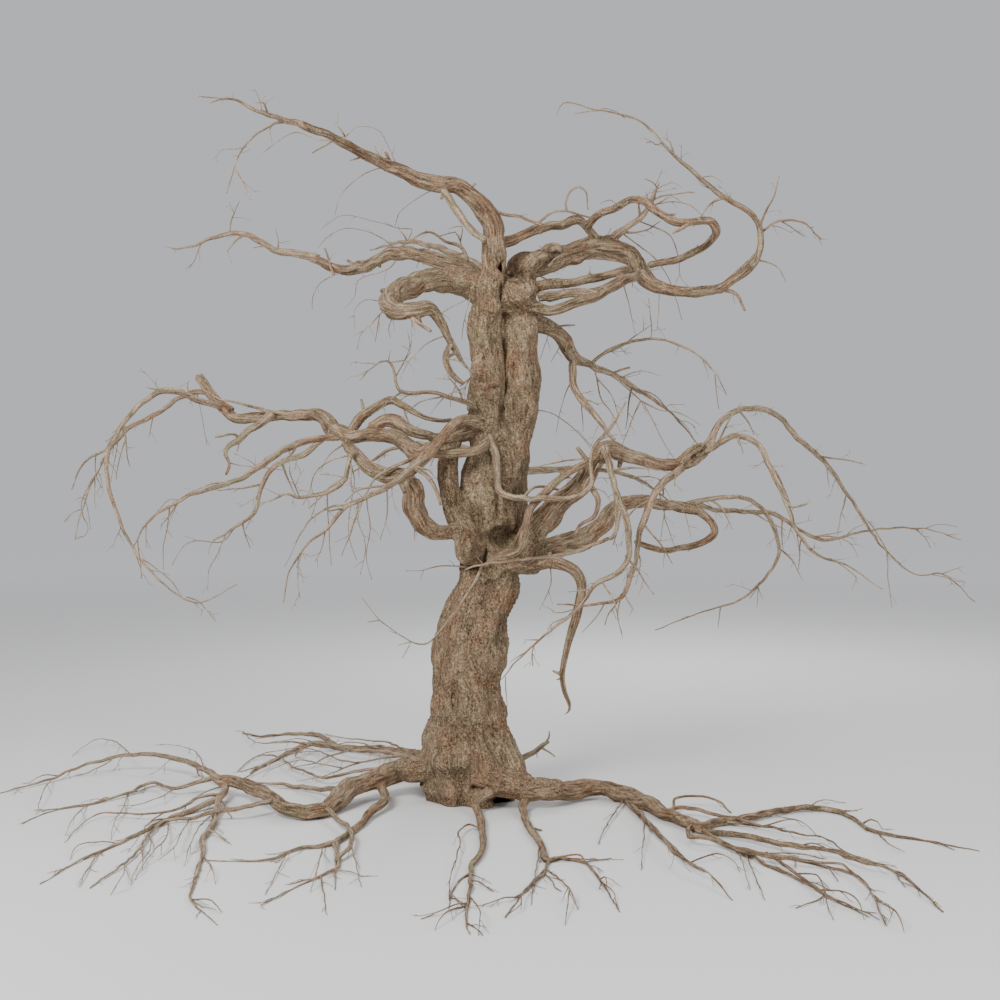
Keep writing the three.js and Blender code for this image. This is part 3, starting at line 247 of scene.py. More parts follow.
TWIGS = table_of("twigs_", """
top_left: bough_top_left 11 5
-1870 7436 -850 34, -2057 7490 -930 30, -2288 7557 -1020 24, -2585 7700 -1120 14, -2695 7711 -1160 10,
-2860 7667 -1200 5
-2000 7470 -900 16, -2255 7392 -1000 13, -2530 7117 -1060 9, -2684 6670 -1100 5
high_left: bough_high_left 23 5
-1738 5973 840 40, -2145 6050 980 37, -2475 6226 1080 30, -2772 6204 1160 20, -3080 6083 1240 12,
-3278 6061 1280 5
curl: bough_curl_return 37 4
-165 4950 -900 32, -88 4818 -860 22, 0 4730 -820 12, 40 4620 -800 6
-150 4920 -895 20, -264 4840 -960 16, -220 4708 -960 12, -88 4576 -900 6
inner_left: trunk bough_fold_left 41 5
110 4300 -150 34, -55 4378 -260 29, -275 4444 -330 26, -418 4488 -380 25, -748 4488 -470 22,
-814 4587 -500 18, -880 4818 -560 13, -1045 4785 -640 8, -1210 4620 -700 5
left_upper: bough_far_left 53 6
-2772 4367 330 40, -2915 4480 420 31, -3190 4422 540 27, -3465 4235 620 24, -3740 4103 700 22,
-3905 3927 760 18, -4235 3718 840 12, -4389 3410 880 5
-3905 3927 760 14, -4092 3630 700 12, -4257 3240 640 9, -4345 2870 600 5
-2860 4440 390 30, -2940 4560 380 27, -2995 4680 370 16
far_left: bough_far_left twigs_left_upper 67 6
-2760 4330 290 34, -3000 4400 180 36, -3200 4490 120 34, -3420 4490 60 32, -3740 4240 -60 28,
-3982 3795 -190 26, -3960 3410 -300 22, -3740 2827 -450 16, -3355 2365 -600 11, -3003 2167 -700 8,
-2563 2376 -780 5
left_low: bough_low_left bough_far_left 71 6
-1490 4000 40 40, -1760 3960 -100 40, -2145 3795 -300 38, -2475 3553 -480 30, -2805 3443 -620 26,
-3190 3300 -760 20, -3542 3058 -880 13, -3707 2772 -940 6
-1600 3985 0 34, -1820 3800 120 32, -2112 3700 240 30, -2288 3465 340 26, -2354 3190 400 22,
-2585 3003 470 16, -2827 2849 520 8
left_inner: bough_hook_left_arm bough_low_left 83 5
-1300 3800 -260 30, -1375 3542 -340 28, -1595 3377 -420 24, -1870 3333 -500 18, -2035 3366 -560 13,
-2200 3278 -600 6
front_left: bough_fold_left bough_low_left 97 6
-500 3780 -440 44, -640 3650 -560 40, -825 3498 -620 34, -1210 3289 -720 28, -1375 3212 -760 26,
-1595 2970 -820 20, -1760 2849 -870 15, -1980 2530 -920 9, -2046 2167 -940 5
front_vine: trunk 103 5
220 4000 -180 46, 286 3740 -310 42, 330 3410 -340 38, 462 3333 -400 34, 760 3315 -560 31,
1090 3322 -560 29, 1320 3443 -560 26, 1342 3850 -600 20, 1562 4125 -600 17, 1705 4378 -600 8
far_right_high: bough_far_right 109 6
2590 3880 -90 38, 2695 4070 -20 35, 2805 4202 80 33, 3047 4312 240 32, 3388 4224 460 30, 3597 3993 580 28,
3905 3707 720 24, 4158 3355 840 19, 4400 2970 940 14, 4620 2695 1010 10, 4928 2475 1080 8,
5192 2486 1120 7, 5555 2178 1160 5
far_right_low: bough_far_right twigs_far_right_high 127 6
2590 3830 -120 38, 2750 3927 -290 36, 2915 4004 -430 35, 3168 3905 -600 33, 3322 3608 -720 30,
3465 3300 -820 26, 3586 2992 -900 22, 3795 2728 -990 15, 4180 2563 -1080 10, 4532 2310 -1150 5
right_hanging: bough_far_right 131 6
2330 3660 -180 46, 2110 3480 -330 44, 1980 3245 -420 40, 1860 2915 -500 34, 1815 2585 -560 28,
1650 2222 -600 22, 1320 2145 -640 16, 957 2156 -680 7
right_inner: bough_low_right bough_far_right bough_right_front 149 6
1500 3800 -400 42, 1550 3600 -560 40, 1620 3355 -640 38, 1740 2980 -700 34, 1700 2560 -740 30,
1408 2387 -760 26, 1188 2112 -780 20, 825 1815 -800 14, 550 1562 -820 10, 330 1320 -840 5
right_behind: bough_right_behind bough_right_loop 151 7
2350 3230 930 32, 2560 3300 960 28, 2750 3322 1000 26, 3025 3322 1060 24, 3267 3135 1140 22,
3399 2750 1200 19, 3300 2508 1260 16, 2970 2200 1320 12, 2585 2079 1380 8, 2035 1870 1500 5
2450 3265 945 26, 2720 3190 1120 26, 3000 3168 1240 26, 3355 3146 1380 24, 3630 2970 1480 20,
3905 2860 1540 17, 4400 2970 1620 12, 5005 2981 1680 8, 5400 2860 1720 5
upper_right: bough_upper_right 167 7
1130 4890 398 46, 1320 4785 560 40, 1650 4642 800 34, 1815 4532 950 28, 2178 4290 1150 14,
2497 3927 1300 5
1150 4880 410 42, 1130 4700 320 44, 1150 4510 260 42, 1265 4367 180 38, 1397 4202 90 32, 1584 3950 0 20
1320 4785 560 22, 1430 4880 420 20, 1650 5005 260 18, 2035 5071 60 14, 2475 4917 -140 11,
2750 4620 -300 7, 2816 4455 -360 5
top_right: bough_outer_loop 173 6
3157 5962 -100 38, 3200 6160 -140 36, 3180 6325 -180 34, 3080 6468 -220 32, 2805 6622 -300 30,
2530 6842 -380 27, 2255 7073 -470 20, 2035 7315 -540 14, 1870 7458 -580 11, 1430 7579 -660 7,
1155 7557 -700 5
3190 6240 -150 16, 3355 6347 -60 13, 3520 6380 60 10, 3685 6336 180 8, 3872 6160 280 5
inner_right: bough_top_right bough_connector 181 5
1480 6100 320 46, 1650 6248 290 38, 1870 6402 250 34, 1980 6545 200 26, 2046 6710 140 12, 2080 6800 100 6
back_high: bough_back_high 191 7
300 5720 1300 52, 60 5900 1550 40, -300 6060 1780 32, -700 6140 1950 22, -1100 6050 2050 8
280 5740 1330 44, 640 5860 1600 36, 1100 5960 1800 28, 1600 5940 1900 18, 2000 5780 1960 7
back_low: bough_back_low 193 7
480 3600 1560 58, 200 3780 1850 44, -250 3900 2050 34, -800 3880 2100 22, -1300 3600 2100 8
470 3610 1580 48, 900 3640 1800 38, 1400 3640 1900 28, 1900 3500 1950 18, 2300 3200 1980 7
""")
ROOTLETS = table_of("rootlets_", """
left_back: root_left 211 6
-2728 209 130 48, -2900 330 150 33, -3190 440 170 28, -3652 506 190 22, -4235 385 100 16, -4620 231 30 12,
-5170 77 0 6
-2800 250 130 30, -3245 132 60 20, -3498 187 40 18, -3762 77 20 16, -4180 -44 0 13, -4565 -110 0 9,
-4928 -253 0 5
left_front: root_left rootlets_left_back 223 6
-2700 150 90 44, -2760 20 50 36, -3190 -154 0 28, -3520 -308 0 22, -3905 -495 0 16, -4235 -638 0 12,
-4730 -924 0 6
-2760 20 50 34, -2838 -275 0 38, -2937 -418 0 33, -2948 -605 0 26, -3025 -880 0 18, -3058 -1100 0 12,
-2772 -1375 0 5
left_near: root_left 227 5
-1463 -462 0 30, -1650 -506 0 24, -1892 -539 0 18, -2222 -660 0 13, -2600 -670 0 8, -2915 -671 0 5
-1500 -480 0 22, -1463 -748 0 20, -1650 -836 0 14, -1870 -935 0 10, -2310 -1166 0 5
back_left: root_back_left 229 6
-1400 575 4 30, -1705 627 0 26, -2090 473 0 20, -2420 300 0 8
-1450 583 3 28, -1700 720 0 22, -2000 730 0 16, -2288 700 0 11, -2497 740 0 6
right_far: root_right 233 6
2530 -290 0 46, 2700 -250 0 44, 2915 -220 10 42, 3410 -121 10 34, 3718 -88 0 32, 4070 -132 0 27,
4477 -352 0 20, 5060 -451 0 14, 5600 -560 0 6
right_low: root_right rootlets_right_far 239 7
2500 -330 0 34, 2970 -385 0 28, 3410 -473 0 24, 3960 -550 0 20, 4565 -737 0 13, 4950 -990 0 9,
5203 -1232 0 5
2560 -340 0 28, 2915 -528 0 26, 3630 -660 0 20, 4235 -825 0 14, 4400 -990 0 10, 4565 -1375 0 5
2700 -420 0 22, 3245 -700 0 20, 3630 -880 0 16, 4015 -1100 0 11, 4400 -1290 0 5
front_left: root_front_left 241 4
22 -715 0 27, 0 -990 0 22, -44 -1320 0 12, 0 -1485 0 5
15 -800 0 16, -120 -880 0 12, -210 -1050 0 8, -230 -1200 0 5
front_right: root_front_right 251 5
847 -660 0 29, 1000 -640 0 20, 1265 -693 0 16, 1430 -880 0 11, 1650 -1232 0 5
870 -665 0 20, 800 -820 0 17, 583 -1023 0 12, 385 -1298 0 5
""")
# More of the trunk and the boughs than their solids have, in the same numbers: under a piece's name
# its fills, flares and knots, and under a limb's name the strands that its solid takes in one
EXTRAS = table_of("", """
trunk_wood:
350 5350 80 60, 345 4900 80 80, 345 4400 70 100, 330 4050 20 160, 310 3700 10 228, 310 3200 20 250,
290 2700 20 262, 270 2300 30 262
215 1600 40 120, 205 1250 -20 170, 236 900 -90 182, 324 605 -165 168, 450 330 -250 150, 570 190 -330 116,
760 140 -300 100, 990 112 -226 96
20 1450 -20 120, 10 1100 -110 140, 60 740 -250 138, 150 480 -370 124, 280 290 -420 118, 450 180 -420 112,
700 125 -330 100
-60 1500 20 130, -130 1150 -20 165, -230 700 -40 168, -400 440 -30 142, -560 370 -30 126,
-760 330 120 112
160 1300 80 150, 280 680 200 140, 380 430 290 100, 430 370 340 60
-70 3000 -225 112, -30 2860 -280 140, 0 2720 -330 146, 20 2650 -310 124
95 3860 -60 115, 72 3620 -70 152, 50 3350 -70 170, 25 3080 -80 170, 30 2800 -80 146
-290 3780 -110 52, -305 3500 -130 60, -250 3240 -170 66, -150 3000 -190 70
380 5570 -150 118, 480 5600 -185 150, 590 5610 -165 146, 690 5590 -110 112
540 5800 60 100, 740 5960 110 105, 880 5990 160 90
100 4860 -120 60, 108 4720 -130 110, 130 4560 -130 128, 120 4400 -110 110, 110 4280 -90 60
620 4560 -40 60, 640 4440 -50 118, 640 4300 -40 126, 620 4160 -10 70
610 5320 -20 60, 630 5200 -30 112, 620 5080 -20 60
boughs_left_wood:
-2640 4260 310 64, -2772 4378 330 56, -2860 4480 350 52, -2935 4590 365 49, -2985 4660 370 50
boughs_right_wood:
2300 3700 -165 64, 2370 3725 -162 94, 2440 3770 -155 116, 2510 3820 -140 102, 2580 3865 -115 62
boughs_top_wood:
860 5860 20 24, 990 5970 0 24, 1150 6028 40 22, 1340 6040 90 20, 1540 5990 130 20, 1740 5900 150 22
860 5500 -160 30, 1155 5577 -160 26, 1430 5632 -120 26, 1700 5775 0 24
780 5990 120 40, 860 6060 90 52, 940 6080 90 44, 1010 6040 110 34
-200 5040 -930 26, -245 4960 -945 30, -268 4870 -955 34, -250 4780 -955 36, -200 4690 -945 35,
-130 4620 -930 30, -66 4578 -915 20
bough_fold_left:
190 4090 -90 112, 60 4150 -220 76, -88 4165 -320 62, -209 4103 -370 55, -308 3993 -390 54,
-506 3790 -400 50, -640 3660 -470 44
264 4010 -130 70, 170 3905 -260 50, 60 3850 -330 46, -209 3806 -330 44, -407 3817 -300 46,
-605 3883 -290 50, -760 3960 -250 54
-430 3995 -140 50, -250 3975 -170 60, -60 4010 -150 74, 120 4060 -60 90
-290 3960 -410 34, -480 3740 -450 38, -640 3600 -520 36, -780 3500 -580 30
bough_right_front:
150 2556 -330 30, 300 2680 -350 38, 450 2712 -370 41, 545 2755 -390 43, 600 2920 -410 45,
660 3190 -460 44, 770 3322 -480 42, 1045 3575 -500 40, 1300 3720 -490 36, 1420 3790 -440 32
root_front_left:
340 150 120 60, 235 100 150 55, 110 22 100 50, 55 -45 50 46, 88 -120 10 44, 132 -330 0 42, 132 -550 0 36,
22 -715 0 30
bough_hanging:
700 2590 -90 72, 880 2620 -180 66, 1133 2530 -240 58, 1232 2365 -260 54, 1199 2145 -270 50,
1089 1760 -280 42, 1012 1375 -300 32, 1040 1190 -300 26, 1084 1080 -300 20, 1096 1010 -290 16,
1072 960 -280 12, 1036 938 -270 8
""")
# Pressed places, in picture numbers: across, down, half width, half height, and how deep in
# millimetres
DENTS = table_of("", """
trunk_wood:
505 538 29 13 150, 503 557 27 4.5 -60, 469 543 12 19 -110, 470 567 17 4 120, 486 556 4 12 60,
497 500 4 22 30, 474 478 6.5 6.5 -55, 474 478 2.5 2.5 30, 484 374 9 9 -60, 491 387 8 4.5 60,
477 405 8 7 -40, 487 345 5 14 -35, 522 345 10 16 -40, 526 398 11 16 -40, 515 372 6 10 30, 502 345 4 30 8,
502 400 5 28 8, 478 330 6 12 -30, 503 266 9 9 200, 500 292 2.6 15 60, 440 749 2.8 10 90, 447 752 4 16 -35,
482 789 13 5.5 170, 500 800 16 7 220, 463 700 10 24 -28, 492 660 12 16 -32, 450 640 8 20 -28,
478 735 5 24 34, 455 700 3.5 34 30, 468 640 4 30 22, 487 610 4 26 24, 500 700 5 16 -22, 434 700 3 24 20,
540 565 13 8 -60, 533 579 8 4 70, 552 572 6 5 50
boughs_right_wood:
695 457 3.4 3.2 44, 699 454.5 3.4 3.2 44, 702 452 2.6 2.6 30
boughs_top_wood:
545 250 7 6 -55, 553 256 5 7 -45, 538 262 8 6 -30, 480 233 8 4 60, 505 266 10 9 220
roots_wood:
221 783 4.5 4.5 60, 221 783 8 7 -20
""")
# The block at the top, cut flat, in picture numbers: its first and last place across, its top and
# foot, its face's depth and the depth it lies in front of in metres, and what is cut over and under
BLOCK = {
    "first": 503,
    "last": 543,
    "top": 280,
    "foot": 305.5,
    "front": -0.262,
    "back": -0.14,
    "over": 25,
    "under": 9,
}
# Whips, strands and stubs beside the masses' stems: what each may grow on, then its first and last
# radius in millimetres and its places across and down a picture of 1000 by 1000 from the camera,
# with the depth in centimetres where it has to pass in front
WHIPS = {
    "twigs_left_look": """
on bough_top_left twigs_top_left
6 3: 397 168, 390 150, 380 132, 368 126, 358 126, 345 136
6 3: 340 147, 320 140, 295 132, 280 139, 263 153
7 3: 385 168, 365 173, 350 185, 340 197, 335 215
6 3: 425 197, 410 204, 398 215, 395 226
20 14: 470 195, 476 184
13 9: 382 160, 375 146
10 6: 343 140, 335 123
13 7: 340 145, 312 153
12 7: 370 160, 350 161
44 34: 447 197, 460 215, 470 228, 485 240
on bough_high_left twigs_high_left
7 3: 335 270, 320 283, 313 297, 312 310
6 3: 400 248, 385 240, 365 231, 345 228, 330 235, 313 254
6 3: 420 238, 412 229, 400 229, 385 224, 365 219, 345 215, 332 220, 320 230
7 3: 410 265, 390 268, 370 275, 358 281, 355 297, 345 308
24 8: 485 243, 460 246, 445 242, 430 233, 410 240, 398 248
9 3: 470 240, 455 232, 440 236, 425 230
8 3: 465 250, 450 255, 430 247, 415 252
8 3: 478 235, 462 226, 448 229
18 10: 333 265, 325 248
10 5: 268 245, 253 248
on bough_curl bough_curl_return twigs_curl
8 3: 388 310, 375 320, 360 335, 357 350
7 3: 383 315, 377 330, 375 342
6 3: 390 318, 388 330, 390 338
6 3: 380 293, 365 300, 355 310, 355 330
6 3: 413 325, 411 350
7 3: 440 320, 450 308, 470 298
7 3: 475 310, 463 325, 462 340
7 3: 436 330, 425 345, 410 360, 400 380
26 15: 405 316, 430 332
14 8: 465 378, 460 386
on twigs_inner_left
6 3: 388 360, 390 350
8 3: 390 361, 405 360, 410 352, 402 346
9 3: 445 398, 420 403, 400 420
7 3: 443 400, 430 414
6 3: 445 397, 465 387
on bough_fold_left bough_low_left bough_far_left bough_hook_left bough_hook_left_arm bough_bridge_left\
 twigs_left_upper twigs_far_left twigs_left_low twigs_left_inner twigs_front_left
30 8: 440 435, 425 448, 405 462, 385 472, 375 478, 362 500
12 3: 348 504, 330 507, 310 520, 303 530, 295 545, 285 567
40 24: 494 437, 485 443, 470 450, 450 452, 435 455, 430 452
24 8: 285 415, 268 411, 245 405, 225 400, 205 392
34 22: 400 425, 432 437
9 3: 142 555, 148 562, 162 573, 172 582, 182 597
9 4: 155 418, 149 437
13 3: 115 443, 105 455, 98 470, 90 482, 83 497, 81 505, 83 517, 88 525, 85 535, 75 540
6 3: 83 497, 88 508, 91 530
10 3: 125 437, 120 455, 116 480
6 3: 117 440, 111 482
6 3: 197 397, 202 415, 207 445
50 13: 272 419, 262 422, 250 430, 240 439, 228 446, 225 455, 228 463, 226 475
22 9: 242 440, 235 435, 215 437
9 4: 240 442, 237 452
7 3: 228 463, 245 466, 283 470
9 3: 180 500, 170 499, 156 513
8 3: 170 508, 168 525, 163 545, 163 570
7 3: 148 525, 146 548
7 3: 140 540, 141 567
9 3: 235 525, 222 541, 195 541, 183 547, 172 565
8 3: 228 535, 215 558, 209 570, 208 590
8 3: 256 512, 245 530
8 3: 345 478, 335 475, 320 475
7 3: 280 494, 265 488
9 3: 327 490, 327 510, 329 530, 331 565
9 3: 345 448, 330 455, 320 472
11 3: 350 455, 330 461, 315 473, 310 490, 303 505
9 3: 355 465, 355 480, 352 500
10 3: 388 490, 387 515, 380 540
9 3: 410 505, 415 540
8 3: 362 500, 358 520, 365 545, 360 575
7 3: 366 498, 370 530, 366 560, 372 580
7 3: 352 500, 348 530, 356 560
26 18: 415 470, 425 475, 432 483, 437 492, 441 505
11 5: 395 410, 413 432
22 13: 367 410, 361 399
8 3: 325 530, 322 548, 315 562
7 3: 300 552, 310 556, 322 552
on trunk
9 3: 462 566, 440 566, 420 571, 405 571
16 3: 485 555 -58, 478 575 -54, 470 590 -50, 445 625 -52, 428 643 -54, 415 643 -54, 400 635 -52,
380 620 -50, 362 598 -50
6 3: 380 622, 367 622
6 3: 412 643, 398 645
6 3: 410 645, 402 658
""",
    "twigs_right_look": """
on bough_low_right bough_far_right twigs_far_right_high twigs_far_right_low twigs_right_hanging\
 bough_right_behind bough_right_loop twigs_right_behind twigs_right_inner bough_right_front bough_hanging
10 3: 862 515, 873 527, 890 555
10 3: 885 552, 888 575, 892 608
8 3: 942 574, 963 566
8 3: 825 465, 829 487
9 3: 797 530, 799 550
14 8: 665 483, 663 495
12 7: 665 483, 658 479
9 3: 620 600, 618 615, 622 635
9 3: 605 601, 597 617, 582 633
9 3: 590 590, 568 592
8 3: 505 675, 507 710
8 3: 540 640, 525 640
8 3: 525 650, 510 662
28 11: 610 470, 615 490, 617 520, 615 533, 600 542 -50, 570 553 -60, 540 558 -66, 510 561 -66,
480 565 -58, 465 570 -50
11 3: 779 548, 792 560, 802 580
9 3: 760 587, 757 607
9 3: 722 611, 718 628
10 3: 812 536, 840 538, 852 545, 858 557
6 3: 665 512, 660 545
6 3: 665 515, 675 548
6 3: 680 515, 691 537
18 11: 562 666, 553 670
9 3: 548 575, 550 585, 540 610
32 25: 578 462, 578 447
12 4: 577 465, 563 461, 545 465, 530 470
32 15: 590 490, 598 500, 595 515, 580 525, 575 535
8 3: 845 535, 855 528, 872 521
7 3: 925 529, 940 524, 958 527
8 3: 870 529, 882 542, 890 560
8 3: 633 540, 640 560, 636 585
on trunk
42 22: 505 762, 520 759 45, 533 754 52, 545 745 55, 549 741 56
17 8: 546 744 55, 549 738 56, 549 731 57
16 7: 543 748 55, 549 752 56, 555 757 57
9 4: 538 752 54, 537 758 55
on twigs_front_vine
17 11: 522 494, 535 488, 560 490, 574 493
8 3: 500 480, 512 476, 523 478
7 3: 590 487, 604 492, 612 505
on bough_upper_right twigs_upper_right twigs_inner_right trunk
10 3: 636 388, 655 395, 668 410, 685 425, 697 443
10 3: 640 403, 630 425, 622 445
9 3: 645 405, 655 425, 665 445, 675 460
9 3: 640 402, 660 410, 680 413, 700 425
18 11: 613 372, 630 367
8 3: 570 378, 563 400, 556 433
8 3: 580 400, 583 432
10 3: 592 370, 602 400, 612 413, 623 440
9 3: 600 380, 612 395, 618 415
8 3: 537 411, 550 413, 565 422, 580 435, 590 448
6 3: 545 335, 540 360
6 3: 555 340, 551 362
16 9: 560 318, 575 325
8 3: 620 378, 640 371, 660 376
on bough_top_right bough_cage_high bough_cage_low bough_outer_loop bough_connector bough_inner_loop\
 bough_inner_loop_low twigs_top_right bough_top_left
9 3: 598 111, 588 99, 575 97, 563 103, 557 115
12 3: 763 232, 775 223, 790 220, 805 224, 822 240
11 3: 757 262, 770 263, 780 270, 786 283
24 12: 728 286, 738 295, 745 311
11 4: 675 155, 670 142, 662 137
24 17: 718 285, 745 265, 755 255
28 11: 683 223, 673 233
22 16: 480 204, 500 213, 520 217, 542 225
15 9: 540 220, 550 214, 562 211, 580 215, 597 219
36 24: 605 245, 620 232, 640 218, 650 205, 656 190
12 4: 650 205, 645 190
10 3: 656 192, 662 186, 672 182
14 8: 568 210, 566 200, 572 190, 580 187, 586 192, 588 210
10 3: 622 238, 640 246, 655 258, 665 272, 674 292, 682 320
10 3: 640 223, 655 227, 670 235, 678 255, 680 275, 690 288
9 3: 617 283, 628 300, 635 335
8 3: 653 290, 657 330
10 3: 655 207, 670 202, 690 205, 703 216
10 3: 632 200, 622 206, 610 200, 600 204
8 3: 700 178, 712 176, 722 182
""",
    "rootlets_left_look": """
on root_left rootlets_left_back rootlets_left_front rootlets_left_near root_back_left rootlets_back_left
9 3: 133 754, 110 740, 98 739, 85 746, 72 756
8 3: 52 779, 43 792, 36 815
8 3: 128 795, 122 810, 113 825, 111 840
8 3: 88 804, 72 820, 65 835
8 3: 98 852, 82 880, 79 888
8 3: 117 843, 103 841, 80 845, 70 860
26 6: 265 808, 240 808, 215 812, 190 818, 168 820, 150 833, 140 848, 125 863, 105 877, 90 888
8 3: 190 818, 180 835, 172 850, 158 860
8 3: 168 820, 165 840, 150 855, 140 870
7 3: 150 833, 150 850, 138 866, 130 885
7 3: 140 848, 142 865, 135 880
7 3: 125 863, 120 880, 110 895
20 4: 220 792, 200 797, 185 805, 165 813, 140 814, 105 813, 90 818, 65 842
9 3: 192 900, 212 901, 222 912
16 4: 337 842, 335 890
9 3: 325 847, 317 870, 311 892
8 3: 287 857, 265 895
26 20: 335 810, 348 828, 352 843, 345 853, 337 862
9 3: 354 843, 361 887
9 3: 321 876, 327 915
34 8: 335 788, 300 787, 280 784, 250 784
25 6: 420 751, 385 752, 350 750, 315 743, 300 750, 280 757, 250 775, 240 780
22 6: 415 763, 395 767, 370 770, 345 773, 325 778, 310 773, 295 768, 280 758, 262 755, 248 762, 238 772
17 4: 335 755, 310 745, 290 742, 262 743, 243 733
19 5: 418 747, 395 745, 380 741, 345 738, 325 734
14 4: 350 750, 330 756, 312 764, 290 768
8 3: 205 765, 196 752, 180 746, 160 744
8 3: 175 788, 160 797, 140 804, 118 806
8 3: 202 855, 212 868, 216 884
14 4: 415 757, 390 757, 362 762, 340 760, 322 752, 300 748, 270 752, 252 758
12 3: 400 757, 375 747, 352 742, 335 744, 318 742
11 3: 372 757, 352 765, 335 772, 316 778, 296 781
10 3: 345 770, 322 764, 300 760, 285 764, 270 770, 262 777
9 3: 330 757, 316 751, 300 752
9 3: 318 745, 302 739, 286 740, 268 743
10 3: 250 784, 225 786, 205 792, 188 804, 176 822
9 3: 165 813, 150 822, 138 838, 128 852
9 3: 215 812, 200 826, 190 845, 184 866
""",
    "rootlets_right_look": """
on root_right rootlets_right_far rootlets_right_low
26 6: 660 803, 675 808, 695 809, 715 814, 735 818, 762 825, 800 834, 818 836, 855 858
9 3: 763 824, 797 820, 820 838
26 5: 700 830, 740 835, 780 843, 808 848, 830 850, 860 862, 885 867, 905 876, 920 890, 943 912
24 5: 680 830, 690 836, 715 840, 735 848, 775 857, 800 860, 840 864, 855 875, 870 890, 885 925, 891 937
9 3: 875 898, 900 918, 905 932
18 4: 765 852, 785 865, 800 876, 820 890, 835 900, 855 908, 880 920
9 3: 797 870, 815 875, 825 890, 827 905, 833 920
9 3: 820 890, 850 893, 860 905, 864 920
20 5: 628 803, 640 812, 650 825, 665 840, 675 853, 690 863, 705 870, 720 885, 733 900
9 3: 690 863, 702 857, 717 853, 732 860, 740 872
9 3: 643 820, 641 870
10 3: 620 802, 605 828, 598 845
8 3: 735 848, 742 862, 750 890
8 3: 745 850, 765 900
16 10: 662 800, 680 797, 715 799, 731 813
8 3: 808 808, 824 800, 846 803
8 3: 877 832, 892 846, 905 852
""",
    "rootlets_front_look": """
on root_front_left rootlets_front_left
12 4: 480 822, 470 824, 458 833, 460 842, 450 880, 449 900
9 3: 467 905, 443 915, 435 930
8 3: 455 910, 440 940
7 3: 472 895, 480 915, 478 935
on root_front_right rootlets_front_right
16 10: 532 823, 542 830
9 3: 541 845, 531 905
12 3: 545 862, 560 857, 577 855, 587 863, 600 880, 612 890, 620 912
10 3: 545 868, 523 893, 520 905, 505 918
10 3: 550 870, 572 893, 577 910
8 3: 566 890, 565 925
""",
}
# The pieces of wood with the limbs in each and its voxels' size, and the pieces of twigs
WOOD = {
    "boughs_top_wood": (
        "bough_",
        "top_left high_left curl curl_return top_right cage_high cage_low outer_loop connector"
        " inner_loop inner_loop_low back_high",
        0.0132,
    ),
    "boughs_left_wood": (
        "bough_",
        "fold_left low_left far_left hook_left hook_left_arm bridge_left",
        0.0095,
    ),
    "boughs_right_wood": (
        "bough_",
        "low_right far_right right_behind right_loop hanging right_front upper_right back_low",
        0.0115,
    ),
    "roots_wood": ("root_", "left back_left right front_left front_right", 0.0115),
}
MASSES = {
    "twigs_left_look": (
        "twigs_",
        "top_left high_left curl inner_left left_upper far_left left_low left_inner front_left",
    ),
    "twigs_right_look": (
        "twigs_",
        "front_vine far_right_high far_right_low right_hanging right_inner right_behind"
        " upper_right top_right inner_right back_high back_low",
    ),
    "rootlets_left_look": ("rootlets_", "left_back left_front left_near back_left"),
    "rootlets_right_look": ("rootlets_", "right_far right_low"),
    "rootlets_front_look": ("rootlets_", "front_left front_right"),
}
DARK_STEMS = ("rootlets_right_look", "rootlets_front_look")


def seen(place):
    """A place on the trunk or a bough, moved along its line of sight to its depth."""
    side, height, depth, radius = place
    out = min(1, abs(side - TRUNK_SIDE) / WIDEST_SWEEP)
    y = depth * (1 + SWEEP * out)
    away = (y - EYE[1]) / -EYE[1]
    x = EYE[0] + (side - EYE[0]) * away
    return (x, y, EYE[2] + (height - EYE[2]) * away, radius * away)


def laid(place):
    """A place on a root, moved along its line of sight until its underside has its lift."""
    side, height, lift, radius = place
    away = (EYE[2] - lift) / (EYE[2] - height + radius)
    x = EYE[0] + (side - EYE[0]) * away
    z = EYE[2] + (height - EYE[2]) * away
    return (x, EYE[1] - EYE[1] * away, z, radius * away)


def unit(vectors):
    return vectors / np.linalg.norm(vectors, axis=-1, keepdims=True)


def between(values, at, share):
    """What lies between the values at a place and at the next, at a share of the way."""
    return values[at] + (values[at + 1] - values[at]) * share


class Line:
    """A centre line: places with a radius, and at each a direction, two sides and the length so far."""

    def __init__(self, places):
        self.places = np.asarray(places, float)
        self.points = self.places[:, :3]
        self.radii = self.places[:, 3]
        steps = np.diff(self.points, axis=0)
        self.lengths = np.concatenate([[0], np.cumsum(np.linalg.norm(steps, axis=1))])
        around = np.vstack([steps[:1], self.points[2:] - self.points[:-2], steps[-1:]])
        self.directions = unit(around)
        self.sides = np.empty_like(self.points)
        side = np.array([1.0, 0.0, 0.0])
        for i, direction in enumerate(self.directions):
            side = side - direction * (side @ direction)
            if np.linalg.norm(side) < 0.2:
                side = np.cross([0.0, 1.0, 0.0], direction)
            side = unit(side)
            self.sides[i] = side
        self.acrosses = np.cross(self.directions, self.sides)

    def part(self, start, end):
        return Line(self.places[start:end])


def nearest_on(lines, points):
    """The nearest place on some lines to each point, by its distance as a share of the radius."""
    count = len(points)
    best = {
        "share": np.full(count, np.inf),
        "line": np.zeros(count, int),
        "at": np.zeros(count, int),
        "along": np.zeros(count),
    }
    for number, line in enumerate(lines):
        for i in range(len(line.points) - 1):
            start = line.points[i]
            step = line.points[i + 1] - start
            along = np.clip((points - start) @ step / (step @ step), 0, 1)
            away = np.linalg.norm(points - start - along[:, None] * step, axis=1)
            share = away / between(line.radii, i, along)
            better = share < best["share"]
            best["share"][better] = share[better]
            best["line"][better] = number
            best["at"][better] = i
            best["along"][better] = along[better]
    return best


